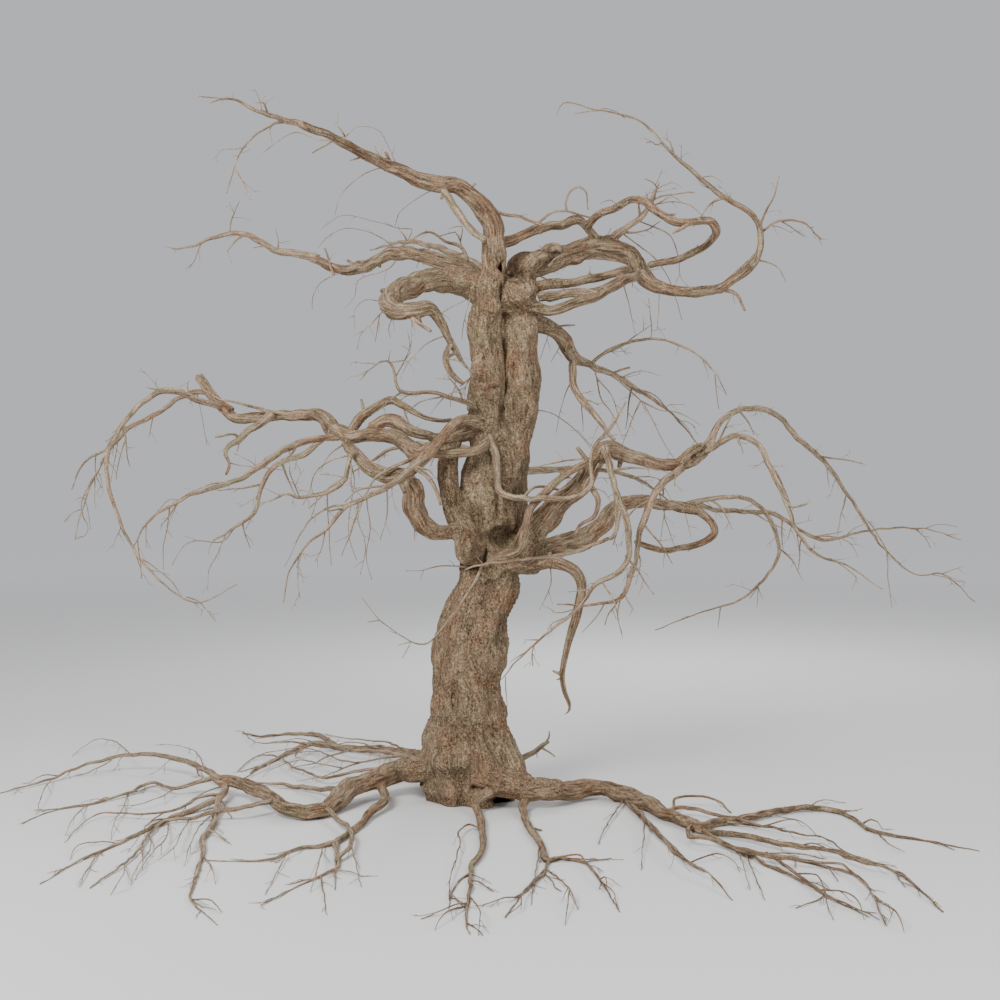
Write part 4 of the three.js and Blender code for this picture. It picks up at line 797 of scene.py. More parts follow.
def limb_lines(limb, settle):
    """A limb's lines: its main path, led back into its carrier where it starts apart, and forks."""
    paths = [[settle(place) for place in path] for path in limb["paths"]]
    first = np.array(paths[0][0])
    carriers = lines_of[limb["on"][0]]
    near = nearest_on(carriers, first[None, :3])
    found = between(carriers[near["line"][0]].points, near["at"][0], near["along"][0])
    away = np.linalg.norm(found - first[:3])
    if near["share"][0] > LEAST_ROOTING and away > first[3]:
        paths[0].insert(0, (*found, first[3]))
    return [Line(path) for path in paths]


def random_numbers(seed):
    """The same random numbers for the same seed, and the same as the solids'."""
    state = seed & WORD

    def draw():
        nonlocal state
        state = (state + 0x6D2B79F5) & WORD
        mixed = (state ^ (state >> 15)) * (state | 1) & WORD
        mixed ^= (mixed + ((mixed ^ (mixed >> 7)) * (mixed | 61) & WORD)) & WORD
        return (mixed ^ (mixed >> 14)) / 2**32

    return draw


taken = {"names": [], "balls": np.zeros((0, 4))}


def occupy(name, places):
    """Marks the space along a line as taken, by balls."""
    rows = []
    for before, after in itertools.pairwise(places):
        pieces = math.ceil(np.linalg.norm(after[:3] - before[:3]) / BALL_SPACING)
        for j in range(pieces + 1):
            point = before[:3] + (after[:3] - before[:3]) * j / pieces
            rows.append([*point, max(before[3], after[3])])
    taken["names"] += [name] * len(rows)
    taken["balls"] = np.vstack([taken["balls"], rows])


def is_clear(place, name):
    """Whether a place of a limb is clear of every other limb."""
    others = np.array([other != name for other in taken["names"]])
    balls = taken["balls"][others]
    least = balls[:, 3] + place[3] + TWIG_CLEARANCE + BALL_SPACING / 4
    return bool(np.all(np.linalg.norm(balls[:, :3] - place[:3], axis=1) > least))


def station_at(line, along):
    """The place, direction and two sides of a line at a share of its way."""
    place = along * (len(line.points) - 1)
    i = min(int(place), len(line.points) - 2)
    return between(line.places, i, place - i), line.directions[i], line.sides[i], line.acrosses[i]


def side_twig(station, turn, along, style, draw):
    """A twig that leaves its stem by turns of the golden angle, bends as it goes and thins out."""
    here, heading, side, across = station
    angle = turn * GOLDEN_TURN + draw()
    opening = style["least_opening"] + style["opening_range"] * draw()
    direction = heading * math.cos(opening)
    direction = direction + side * math.sin(opening) * math.cos(angle)
    direction = direction + across * math.sin(opening) * math.sin(angle)
    length = style["reach"] * (0.5 + 0.5 * draw()) * (1 - 0.45 * along)
    thick = min(max(here[3] * 0.5, 1.6 * LEAST_TWIG), style["thickest"])
    droop = style["droop"] * (draw() - style["rising"])
    point = here[:3].copy()
    places = [np.array([*point, thick])]
    for step in range(1, TWIG_STEPS + 1):
        bend = np.array([draw() - 0.5, draw() - 0.5, draw() - 0.5])
        direction = direction + style["wander"] * bend - np.array([0, 0, droop])
        direction = unit(direction)
        point = point + direction * length / TWIG_STEPS
        radius = thick + (LEAST_TWIG - thick) * step / TWIG_STEPS
        if style["on_ground"]:
            point[2] = max(radius + 1, point[2] * (1 - step / TWIG_STEPS))
        places.append(np.array([*point, radius]))
    return places


def grow_twigs(name, style):
    """A mass's side twigs, each kept where it stays near the mass and clear of other limbs."""
    lines = lines_of[name]
    seed, tries = limbs[name]["rule"]
    draw = random_numbers(seed)
    points = np.vstack([line.points for line in lines])
    low = points.min(axis=0) - style["reach"] * 0.7
    high = points.max(axis=0) + style["reach"] * 0.7
    total = sum(line.lengths[-1] for line in lines)
    twigs = []
    for line in lines:
        count = max(1, int(tries * line.lengths[-1] / total + 0.5))
        for i in range(count):
            along = 0.12 + 0.8 * (i + 0.3 + 0.5 * draw()) / count
            twig = side_twig(station_at(line, along), i, along, style, draw)
            near = all((place[:3] >= low).all() and (place[:3] <= high).all() for place in twig)
            if near and all(is_clear(place, name) for place in twig):
                twigs.append(Line(twig))
                occupy(name, twig)
    return twigs


# The solids' skeleton, grown again in the same order
limbs = {"trunk": {"on": []}}
lines_of = {"trunk": [Line([seen(place) for place in stem["paths"][0]]) for stem in TRUNK.values()]}
for line in lines_of["trunk"]:
    occupy("trunk", line.places)
for table, settle in ((BOUGHS, seen), (ROOTS, laid), (TWIGS, seen), (ROOTLETS, laid)):
    limbs.update(table)
    for name, limb in table.items():
        lines_of[name] = limb_lines(limb, settle)
        for line in lines_of[name]:
            occupy(name, line.places)
side_twigs = {name: grow_twigs(name, CROWN_STYLE) for name in TWIGS}
side_twigs.update({name: grow_twigs(name, ROOT_STYLE) for name in ROOTLETS})


def blend(first, second, start, end, t):
    """The value at t on the straight way between two values, which lie at start and end."""
    return ((end - t) * first + (t - start) * second) / (end - start)


def smooth(places, step):
    """A curve through the places, with a place about every step along it."""
    places = np.asarray(places, float)
    points = places[:, :3]
    ends = np.vstack([2 * points[0] - points[1], points, 2 * points[-1] - points[-2]])
    gaps = np.linalg.norm(np.diff(ends, axis=0), axis=1)
    knots = np.concatenate([[0], np.cumsum(np.sqrt(gaps))])
    rows = []
    for i in range(len(points) - 1):
        four = ends[i : i + 4]
        marks = knots[i : i + 4]
        count = max(1, round(gaps[i + 1] / step))
        share = np.arange(count)[:, None] / count
        t = marks[1] + (marks[2] - marks[1]) * share
        near = [blend(four[k], four[k + 1], marks[k], marks[k + 1], t) for k in range(3)]
        wide = [blend(near[k], near[k + 1], marks[k], marks[k + 2], t) for k in range(2)]
        curve = blend(*wide, marks[1], marks[2], t)
        rows.append(np.hstack([curve, between(places[:, 3], i, share)]))
    rows.append(places[-1:])
    return np.vstack(rows)


def hashed(x, y, z, seed):
    """A number from 0 to 1 for each lattice point."""
    h = x.astype(np.uint32) * np.uint32(0x9E3779B1)
    h ^= y.astype(np.uint32) * np.uint32(0x85EBCA77)
    h ^= z.astype(np.uint32) * np.uint32(0xC2B2AE3D)
    h ^= np.uint32(seed * 2654435761 & WORD)
    h ^= h >> np.uint32(15)
    h *= np.uint32(0x2C1B3C6D)
    h ^= h >> np.uint32(12)
    h *= np.uint32(0x297A2D39)
    h ^= h >> np.uint32(15)
    return h / 2**32


SLOPES = np.array([s for s in itertools.product((-1, 0, 1), repeat=3) if np.abs(s).sum() == 2])


def noise(points, seed):
    """Smooth noise, from about -1 to 1, from a slope at each lattice point."""
    cell = np.floor(points)
    share = points - cell
    ease = share**3 * (share * (share * 6 - 15) + 10)
    cell = cell.astype(np.int64)
    total = np.zeros(len(points))
    for corner in itertools.product((0, 1), repeat=3):
        bits = np.array(corner)
        weight = np.prod(np.where(bits, ease, 1 - ease), axis=1)
        x, y, z = (cell + bits).T
        slope = SLOPES[(hashed(x, y, z, seed) * len(SLOPES)).astype(int)]
        total += weight * (slope * (share - bits)).sum(1)
    return 1.4 * total


def turns_of(sides):
    """The angles of a ring's corners."""
    return 2 * math.pi * np.arange(sides) / sides


def tube(line, sides, shares=1):
    """The vertices and triangles of a closed tube along a line, whose radius the shares vary."""
    angles = turns_of(sides)
    reach = line.radii[:, None] * shares
    outwards = line.sides[:, None] * np.cos(angles)[None, :, None]
    outwards = outwards + line.acrosses[:, None] * np.sin(angles)[None, :, None]
    rings = line.points[:, None] + outwards * reach[:, :, None]
    vertices = np.vstack([rings.reshape(-1, 3), line.points[:1], line.points[-1:]])
    count = len(line.points)
    here = np.arange(sides)
    after = (here + 1) % sides
    starts = np.arange(count - 1)[:, None] * sides
    a = (starts + here).ravel()
    b = (starts + after).ravel()
    walls = np.vstack([np.stack([a, b, b + sides], 1), np.stack([a, b + sides, a + sides], 1)])
    centre = np.full(sides, count * sides)
    last = (count - 1) * sides
    foot = np.stack([centre, after, here], 1)
    tip = np.stack([centre + 1, last + here, last + after], 1)
    return vertices, np.vstack([walls, foot, tip])


def ball(centre, size, heading):
    """A lump, longer along its heading than across it."""
    turns = np.linspace(0, math.pi, 9)
    points = centre + np.outer(-np.cos(turns) * size * 1.5, heading)
    return tube(Line(np.column_stack([points, np.sin(turns) * size + 1e-4])), 14)


def joined(shapes):
    """Several shapes' vertices and triangles as one."""
    counts = np.cumsum([0] + [len(vertices) for vertices, _ in shapes])
    vertices = np.vstack([vertices for vertices, _ in shapes])
    return vertices, np.vstack([triangles + count for (_, triangles), count in zip(shapes, counts)])


def linked(name, data):
    """A new object in the scene."""
    made = bpy.data.objects.new(name, data)
    bpy.context.scene.collection.objects.link(made)
    return made


def object_of(name, vertices, triangles):
    mesh = bpy.data.meshes.new(name)
    mesh.vertices.add(len(vertices))
    mesh.vertices.foreach_set("co", vertices.astype(np.float32).ravel())
    mesh.loops.add(3 * len(triangles))
    mesh.loops.foreach_set("vertex_index", triangles.astype(np.int32).ravel())
    mesh.polygons.add(len(triangles))
    mesh.polygons.foreach_set("loop_start", np.arange(0, 3 * len(triangles), 3, dtype=np.int32))
    mesh.update(calc_edges=True)
    return linked(name, mesh)


def fused(name, shapes, voxel, rounds):
    """The shapes as one skin: remeshed in voxels, and smoothed."""
    rough = object_of(name + "_rough", *joined(shapes))
    remesh = rough.modifiers.new("voxels", "REMESH")
    remesh.mode = "VOXEL"
    remesh.voxel_size = voxel
    even = rough.modifiers.new("even", "SMOOTH")
    even.factor = 0.5
    even.iterations = rounds
    evaluated = rough.evaluated_get(bpy.context.evaluated_depsgraph_get())
    mesh = bpy.data.meshes.new_from_object(evaluated)
    mesh.name = name
    bpy.data.objects.remove(rough)
    return linked(name, mesh)


def read(mesh, what):
    """The mesh's places or normals."""
    values = np.empty(3 * len(mesh.vertices), np.float32)
    mesh.vertices.foreach_get(what, values)
    return values.reshape(-1, 3).astype(float)


def put(mesh, points):
    """Moves the mesh's vertices to the points."""
    mesh.vertices.foreach_set("co", points.astype(np.float32).ravel())
    mesh.update()


# How much the grain turns round a limb in a metre, and how far apart two lines' grains lie
TWIST = 0.35
GRAIN_SHIFT = 7.3


def grain_of(points, lines):
    """For each point, where it lies on its nearest line: angle round it, radius, length along."""
    near = nearest_on(lines, points)
    angle, radius, along = np.zeros((3, len(points)))
    for number, line in enumerate(lines):
        mine = near["line"] == number
        at = near["at"][mine]
        share = near["along"][mine][:, None]
        here = between(line.places, at, share)
        away = points[mine] - here[:, :3]
        length = between(line.lengths, at, share[:, 0])
        across = (away * between(line.acrosses, at, share)).sum(1)
        side = (away * between(line.sides, at, share)).sum(1)
        angle[mine] = np.arctan2(across, side) + TWIST * length
        radius[mine] = here[:, 3]
        along[mine] = length + GRAIN_SHIFT * number
    return angle, radius, along


# The forms of the bark. Broad ones are as wide as a share of the limb and stand out by a share of
# its radius; fine ones have a width and a height in metres. All have a length along the grain.
LUMPS = {"turns": 1.1, "shift": 0.5, "length": 0.33, "height": 0.17}
FLUTES = {"turns": 2.0, "shift": 0, "length": 0.7, "height": 0.1}
RIDGES = {"width": 0.05, "length": 0.17, "height": 0.0075}
POCKS = {"width": 0.028, "length": 0.045, "height": 0.0042}
HIGHEST_BROAD_FORM = 0.045
STOUT = 0.12


def relief_of(angle, radius, along):
    """How far the bark stands out, in metres, and how high it looks to the material, which paints shade
    where it lies low.
    """
    c, s = np.cos(angle), np.sin(angle)

    def forms(turns, length, seed, shift=0):
        return noise(np.stack([c * turns + shift, s * turns + shift, along / length], 1), seed)

    lumps = forms(LUMPS["turns"], LUMPS["length"], 1, LUMPS["shift"])
    flutes = forms(FLUTES["turns"], FLUTES["length"], 2)
    ridges = forms(radius / RIDGES["width"], RIDGES["length"], 3)
    pocks = forms(radius / POCKS["width"], POCKS["length"], 4)
    stout = np.clip(radius / STOUT, 0.25, 1)
    broad = radius * (LUMPS["height"] * lumps + FLUTES["height"] * flutes)
    fine = stout * (RIDGES["height"] * ridges + POCKS["height"] * pocks)
    relief = np.clip(broad, -HIGHEST_BROAD_FORM, HIGHEST_BROAD_FORM) + fine
    return relief, ridges * 0.5 + flutes * 0.5 + lumps * 0.3 + pocks * 0.4


def grain_vectors(angle, radius, along):
    """The bark's own coordinates, unrolled along the grain."""
    return np.stack([np.cos(angle) * radius, np.sin(angle) * radius, along], 1)


def keep_grain(mesh, grain, height):
    """Shades a mesh smooth, and keeps its grain and its relief for the material, which paints shade in
    the relief's low places.
    """
    kept = mesh.attributes.new("grain", "FLOAT_VECTOR", "POINT")
    kept.data.foreach_set("vector", grain.astype(np.float32).ravel())
    kept = mesh.attributes.new("relief", "FLOAT", "POINT")
    kept.data.foreach_set("value", (0.5 + 0.4 * height).astype(np.float32))
    mesh.polygons.foreach_set("use_smooth", np.ones(len(mesh.polygons), bool))


def in_picture(points):
    """How far across and down the picture each point is seen, and metres a pixel there."""
    away = (points[:, 1] - STAND[1]) / FOCAL
    across = MIDDLE + (points[:, 0] - STAND[0]) / away
    return across, MIDDLE - (points[:, 2] - STAND[2]) / away, away


def seen_at(u, v, depth):
    """The point at a place in the picture, at a depth in metres."""
    away = (depth - STAND[1]) / FOCAL
    return np.array([STAND[0] + (u - MIDDLE) * away, depth, STAND[2] - (v - MIDDLE) * away])


def press(mesh, dents):
    """Pushes in, or pulls out, the places that face the standpoint."""
    points = read(mesh, "co")
    facing = np.clip(-3 * read(mesh, "normal")[:, 1], 0, 1)
    for u, v, wide, high, deep in dents:
        across, down, _ = in_picture(points)
        share = np.clip(1 - ((across - u) / wide) ** 2 - ((down - v) / high) ** 2, 0, 1)
        points[:, 1] += share * share * (3 - 2 * share) * facing * deep * MM
    put(mesh, points)


def flatten(mesh, first, last, top, foot, front, back, over, under):
    """Cuts a block flat: its top, its face and its underside."""
    points = read(mesh, "co")
    across, down, away = in_picture(points)
    block = (across > first) & (across < last) & (points[:, 1] < back)
    above = block & (down < top) & (down > top - over)
    points[above, 2] = (STAND[2] - (top - MIDDLE) * away)[above]
    face = block & (down >= top) & (down <= foot)
    points[face, 1] = np.maximum(points[face, 1], front)
    below = block & (down > foot) & (down < foot + under)
    points[below, 1] = back
    put(mesh, points)


def dress(made, lines, swell):
    """Moves the skin by the bark's relief, and keeps its grain for the material."""
    mesh = made.data
    if made.name in DENTS:
        press(mesh, DENTS[made.name]["paths"][0])
    if made.name == "trunk_wood":
        flatten(mesh, **BLOCK)
    points = read(mesh, "co")
    normals = read(mesh, "normal")
    angle, radius, along = grain_of(points, lines)
    relief, height = relief_of(angle, radius, along)
    points += normals * (relief + swell)[:, None]
    points[:, 2] = np.maximum(points[:, 2], 0)
    keep_grain(mesh, grain_vectors(angle, radius, along), height)
    put(mesh, points)


# How far apart a smooth line's places are, and how far a limb runs back from its carrier's tip
TRUNK_STEP = 0.05
BOUGH_STEP = 0.025
STEM_STEP = 0.035
TWIG_STEP = 0.05
THIN_WHIP_STEP = 0.07
TIP_OVERLAP = 0.12


def curve_of(places, step=BOUGH_STEP):
    """The smooth line in metres through places in millimetres."""
    return Line(smooth(places * MM, step))


def chained(name):
    """A limb's main path in metres, run on from its carrier's tip where it starts there."""
    places = lines_of[name][0].places
    carrier = limbs[name]["on"][0]
    reach = lines_of[carrier][0].places
    tip = reach[-1]
    if carrier == "trunk" or np.linalg.norm(places[0, :3] - tip[:3]) >= 2 * tip[3]:
        return curve_of(places)
    places = np.vstack([reach[-2:], places[1:]])
    curve = curve_of(places)
    start = np.linalg.norm((places[1, :3] - places[0, :3]) * MM) - TIP_OVERLAP
    return curve.part(np.searchsorted(curve.lengths, max(start, 0)), None)


def curves_of(name, step):
    """A limb's main path and its forks, as smooth lines in metres."""
    return [chained(name), *(curve_of(line.places, step) for line in lines_of[name][1:])]


# Small bends: how long a limb takes to begin them, the two waves' lengths, and their seeds
WOOD_BENDS = {"run": 0.2, "waves": (0.24, 0.19), "turn": 1.7, "seed": 21}
TWIG_BENDS = {"run": 0.15, "waves": (0.21, 0.17), "turn": 3.1, "seed": 11}


def wavering(line, wave, y, z, seed):
    """Noise along the line, with waves of a length in metres."""
    still = line.lengths * 0
    return noise(np.stack([line.lengths / wave, still + y, still + z], 1), seed)


def bent(line, reach, number, bends):
    """The line with small bends, none at its start."""
    ease = np.clip(line.lengths / bends["run"], 0, 1) * reach
    phase = number * bends["turn"]
    swing, sway = (
        wavering(line, wave, phase, phase, bends["seed"] + i) * ease
        for i, wave in enumerate(bends["waves"])
    )
    places = line.places.copy()
    places[:, :3] += line.sides * swing[:, None] + line.acrosses * sway[:, None]
    return Line(places)


def wood_lines(name):
    """A limb's lines with the bends of old wood."""
    seed = sum(map(ord, name))
    lines = curves_of(name, BOUGH_STEP)
    return [
        bent(line, np.minimum(line.radii * 0.3, 0.022), seed + i, WOOD_BENDS)
        for i, line in enumerate(lines)
    ]


def extra_lines(name, settle=seen):
    """The lines that a piece or a limb has beyond its solid's."""
    if name not in EXTRAS:
        return []
    paths = EXTRAS[name]["paths"]
    return [curve_of(np.array([settle(place) for place in path])) for path in paths]


# How a limb's radius varies where it leaves its carrier, as metres out of it and shares of the
# radius, and the part of a limb that its collar on the trunk takes in
COLLAR = ((-0.35, 0.3), (-0.12, 0.95), (0, 1.12), (0.25, 1.0), (0.55, 0.8))
ROOT_COLLAR = ((-0.4, 0.5), (0, 0.85), (0.25, 0.9), (0.55, 0.8))
SLEEVE = ((-0.2, 0.85), (0.1, 0.85), (0.45, 1.0))
THIN_SLEEVE = ((-0.2, 0.6), (0.05, 0.65), (0.3, 1.0))
JOINT = ((-0.1, 1.05), (0, 1.15), (0.3, 1.0))
COLLAR_REACH = (-0.35, 0.55)
FEWEST_STATIONS = 4
# Limbs whose strands need no collar, and how the foot of the bole narrows, by its height
NO_COLLAR = ("bough_fold_left", "bough_right_front", "root_front_left")
FOOT = ((0, 0.86), (0.2, 0.88), (0.5, 1.0))
# The share of the bole's length that its ribs grow over, and the share of a carrier's radius past
# which a limb counts as out of it
FLARE = 0.35
OUTSIDE = 0.95


def swollen(line, carriers, profile):
    """The line with its radius varied, and how far each station is out of its carriers."""
    outside = np.flatnonzero(nearest_on(carriers, line.points)["share"] >= OUTSIDE)
    out = line.lengths - line.lengths[outside[0] if len(outside) else -1]
    places = line.places.copy()
    places[:, 3] *= np.interp(out, *zip(*profile))
    return Line(places), out


def limb_tube(line, phase):
    """A limb's tube, uneven round it and along it."""
    sides = 28 if line.radii[0] > 0.09 else 20
    angles = turns_of(sides)
    along = line.lengths[:, None]
    wave = 0.05 * np.sin(2 * angles + 4.1 * along + phase) + 0.03 * np.sin(3 * angles - 7 * along)
    lump = wavering(line, LUMPS["length"], phase, 0, 9)
    return tube(line, sides, 1 + wave + 0.1 * lump[:, None])


def bole_tube(line, sides):
    """The bole's tube, with ribs that grow towards the foot."""
    angles = turns_of(sides)
    along = (line.lengths / line.lengths[-1])[:, None]
    flare = np.maximum(0, 1 - along / FLARE)
    ribs = (0.03 + 0.1 * flare) * np.cos(7 * angles + 2) + 0.04 * np.cos(2 * angles)
    foot = np.interp(line.points[:, 2], *zip(*FOOT))[:, None]
    return tube(line, sides, (1 + ribs) * foot)


# Metres of limb to each burl, and how many of these are broken stubs
BURL_SPACING = 0.55
STUB_SHARE = 0.45


def burls(line, draw):
    """Broken stubs and knots along a limb."""
    shapes = []
    for _ in range(int(line.lengths[-1] / BURL_SPACING)):
        at = int(draw() * (len(line.points) - 12)) + 6
        at = min(at, len(line.points) - 2)
        angle = draw() * 2 * math.pi
        radius = line.radii[at]
        outwards = line.sides[at] * math.cos(angle) + line.acrosses[at] * math.sin(angle)
        if draw() < STUB_SHARE:
            heading = unit(outwards + line.directions[at] * (0.2 + 0.7 * draw()))
            reach = radius + 0.03 + 0.09 * draw()
            thick = min(0.03, radius * (0.25 + 0.15 * draw()))
            steps = np.linspace(0, 1, 6)[:, None]
            places = np.hstack([line.points[at] + heading * reach * steps, thick * (1.25 - 0.4 * steps)])
            shapes.append(tube(Line(places), 12))
        else:
            centre = line.points[at] + outwards * radius * (0.5 + 0.2 * draw())
            shapes.append(ball(centre, radius * (0.45 + 0.25 * draw()), line.directions[at]))
    return shapes


# Skins: the trunk's voxel size, rounds of smoothing and how far it is swollen, in metres, and the
# limbs' rounds and swelling
TRUNK_VOXEL = 0.018
TRUNK_ROUNDS = 24
TRUNK_SWELL = 0.004
LIMB_ROUNDS = 8
LIMB_SWELL = 0.002
# The trunk's last stem is the thin spur at the back of the foot, which grows with the whips
trunk_lines = [curve_of(line.places, TRUNK_STEP) for line in lines_of["trunk"][:-1]]


def trunk_piece():
    """The bole, its stems and the collars of the limbs that it carries, as one skin."""
    shapes = [bole_tube(trunk_lines[0], 64)]
    shapes += [limb_tube(line, i) for i, line in enumerate(trunk_lines[1:] + extra_lines("trunk_wood"))]
    lines = list(trunk_lines)
    for name, limb in limbs.items():
        if "trunk" not in limb["on"] or limb["rule"] or name in NO_COLLAR:
            continue
        profile = ROOT_COLLAR if name.startswith("root") else COLLAR
        if name.startswith("root_front"):
            profile = THIN_SLEEVE
        collar, out = swollen(wood_lines(name)[0], trunk_lines, profile)
        start, end = (int(place) for place in np.searchsorted(out, COLLAR_REACH))
        if end - start < FEWEST_STATIONS:
            continue
        collar = collar.part(start, end)
        shapes.append(limb_tube(collar, len(shapes)))
        lines.append(collar)
    made = fused("trunk_wood", shapes, TRUNK_VOXEL, TRUNK_ROUNDS)
    dress(made, lines, TRUNK_SWELL)
    return made


def in_metres(name):
    return [Line(line.places * MM) for line in lines_of[name]]


def wood_piece(name, members, voxel):
    """Some limbs as one skin, with their burls, strands and extras."""
    shapes = []
    lines = []
    for number, member in enumerate(members):
        carrier = limbs[member]["on"][0]
        if carrier == "trunk":
            carriers = trunk_lines
            profile = THIN_SLEEVE if member.startswith("root_front") else SLEEVE
        else:
            carriers = in_metres(carrier)
            profile = JOINT
        limb = wood_lines(member)
        limb[0], _ = swollen(limb[0], carriers, profile)
        limb = extra_lines(member, laid if name == "roots_wood" else seen) or limb
        shapes += [limb_tube(line, number + i) for i, line in enumerate(limb)]
        lines += limb
        if not member.startswith("root"):
            shapes += burls(limb[0], random_numbers(1000 + sum(map(ord, member))))
    for line in extra_lines(name):
        shapes.append(limb_tube(line, len(shapes)))
        lines.append(line)
    made = fused(name, shapes, voxel, LIMB_ROUNDS)
    dress(made, lines, LIMB_SWELL)
    return made


def plain_material(name, colour, roughness):
    made = bpy.data.materials.new(name)
    made.use_nodes = True
    shader = made.node_tree.nodes["Principled BSDF"]
    shader.inputs["Base Color"].default_value = (*colour, 1)
    shader.inputs["Roughness"].default_value = roughness
    return made


def node(tree, kind, output, inputs, **settings):
    """A shader node's output; its inputs are values or other nodes' outputs."""
    made = tree.nodes.new("ShaderNode" + kind)
    for name, value in settings.items():
        setattr(made, name, value)
    for name, value in inputs.items():
        if isinstance(value, bpy.types.NodeSocket):
            tree.links.new(value, made.inputs[name])
        else:
            made.inputs[name].default_value = value
    return made.outputs[output]


def bark_material(name, tones, fibrous, along, bump):
    """Weathered bark: wrinkles that run up the grain, speckles, broad stains, and painted shade from the
    relief, which darkens its pits and hollows and lightens what stands out.
    """
    made = plain_material(name, tones[1][1], 0.9)
    tree = made.node_tree
    shader = tree.nodes["Principled BSDF"]
    shader.inputs["Specular IOR Level"].default_value = 0.25
    place = node(tree, "TexCoord", "Object", {})
    grain = node(tree, "Attribute", "Vector", {}, attribute_name="grain")
    relief = node(tree, "Attribute", "Fac", {}, attribute_name="relief")
    fibres = node(tree, "Mapping", "Vector", {"Vector": grain, "Scale": (50, 50, along)})

    def clouds(vector, scale, detail, rough, warp):
        inputs = {"Vector": vector, "Scale": scale, "Detail": detail, "Roughness": rough}
        return node(tree, "TexNoise", "Fac", inputs | {"Distortion": warp})

    def maths(operation, *values):
        return node(tree, "Math", 0, dict(enumerate(values)), operation=operation)

    def swing(value, share):
        return maths("MULTIPLY", maths("SUBTRACT", value, 0.5), share)

    def tinted(colour, value, stops):
        shade = ramp(value, stops)
        inputs = {"Factor": 1.0, "A": colour, "B": shade}
        return node(tree, "Mix", "Result", inputs, data_type="RGBA", blend_type="MULTIPLY")

    def ramp(value, stops):
        colour = node(tree, "ValToRGB", "Color", {"Fac": value})
        bar = colour.node.color_ramp
        while len(bar.elements) < len(stops):
            bar.elements.new(0.5)
        for element, (position, tone) in zip(bar.elements, stops):
            element.position = position
            element.color = (*tone, 1)
        return colour

    speckle = clouds(place, 50, 4, 0.68, 0.6)
    wrinkles = clouds(fibres, 1, 4, 0.65, 0.7)
    stain = clouds(place, 3.6, 5, 0.62, 0.3)
    hue = clouds(place, 2.6, 6, 0.68, 0.5)
    flecks = clouds(place, 88, 2, 0.5, 0.2)
    tone = maths("ADD", maths("MULTIPLY", speckle, 1 - fibrous), maths("MULTIPLY", wrinkles, fibrous))
    # Painted shade: the relief makes the colour darker where the bark lies low and lighter where it
    # stands out
    tone = maths("ADD", tone, swing(relief, 0.1))
    tone = maths("ADD", tone, swing(stain, 0.2))
    colour = tinted(tinted(ramp(tone, tones), hue, PATCH), flecks, FLECKS)
    tree.links.new(colour, shader.inputs["Base Color"])
    uneven = {"Strength": bump, "Distance": 0.014, "Height": tone}
    tree.links.new(node(tree, "Bump", "Normal", uneven), shader.inputs["Normal"])
    return made


TONES = (
    (0.36, (0.045, 0.028, 0.017)),
    (0.44, (0.118, 0.081, 0.052)),
    (0.5, (0.2, 0.147, 0.098)),
    (0.57, (0.305, 0.24, 0.168)),
    (0.65, (0.44, 0.37, 0.28)),
)
BOUGH_TONES = (
    (0.36, (0.065, 0.042, 0.027)),
    (0.44, (0.14, 0.099, 0.066)),
    (0.5, (0.222, 0.166, 0.115)),
    (0.57, (0.31, 0.245, 0.176)),
    (0.66, (0.43, 0.36, 0.275)),
)
STEM_TONES = (
    (0.34, (0.1, 0.07, 0.048)),
    (0.43, (0.19, 0.142, 0.1)),
    (0.5, (0.285, 0.225, 0.166)),
    (0.58, (0.39, 0.322, 0.25)),
    (0.68, (0.52, 0.45, 0.365)),
)
PATCH = (
    (0.3, (0.86, 0.9, 0.74)),
    (0.42, (0.98, 0.98, 0.88)),
    (0.5, (1.0, 0.95, 0.88)),
    (0.58, (1.05, 0.9, 0.81)),
    (0.7, (1.0, 0.79, 0.62)),
)
FLECKS = (
    (0.34, (0.55, 0.46, 0.4)),
    (0.44, (0.95, 0.93, 0.9)),
    (0.58, (1.0, 1.0, 1.0)),
    (0.68, (1.3, 1.3, 1.26)),
)
FINE_TONES = ((0.33, 0.265, 0.205), (0.41, 0.34, 0.27), (0.5, 0.43, 0.35), (0.36, 0.28, 0.21))
trunk_bark = bark_material("trunk_bark_look", TONES, 0.4, 12, 1.0)
bough_bark = bark_material("bough_bark_look", BOUGH_TONES, 0.74, 5, 0.8)
root_bark = bark_material("root_bark_look", BOUGH_TONES, 0.7, 6, 0.8)
stem_bark = bark_material("stem_bark_look", STEM_TONES, 0.74, 5, 0.6)
twig_looks = [plain_material(f"twig_bark_{i}", tone, 0.88) for i, tone in enumerate(FINE_TONES)]

# A twig thicker than a stem's radius has the first look, and a thinner one a plain look
STEM_LOOK = 0
STEM_RADIUS = 0.011
FINE_LOOKS = len(FINE_TONES)
# Tubes' sides by their radius, the stoutest first
TWIG_SIDES = ((0.02, 10), (STEM_RADIUS, 8), (0.005, 5), (0, 4))
LEAST_GRAIN = 0.008
# Finer twigs: how many to a metre, their reach and radius in metres, and whether more grow on them
ON_STEMS = (1.2, 0.36, 0.0052, True)
ON_SIDE_TWIGS = (3.2, 0.24, 0.004, True)
ON_WHIPS = (1.8, 0.2, 0.0038, False)
FINEST_TO_A_METRE = 7
# Side twigs, by number, that would cross the columns or the sky where the tree shows none
LEFT_OUT = {
    "twigs_curl": (0,),
    "twigs_front_vine": (0, 1),
    "twigs_left_upper": (6,),
    "twigs_far_left": (0, 3),
}


def inside(points, margin):
    """Whether all the points lie in the solids' box, to a margin."""
    return bool((points >= lowest - margin).all() and (points <= highest + margin).all())


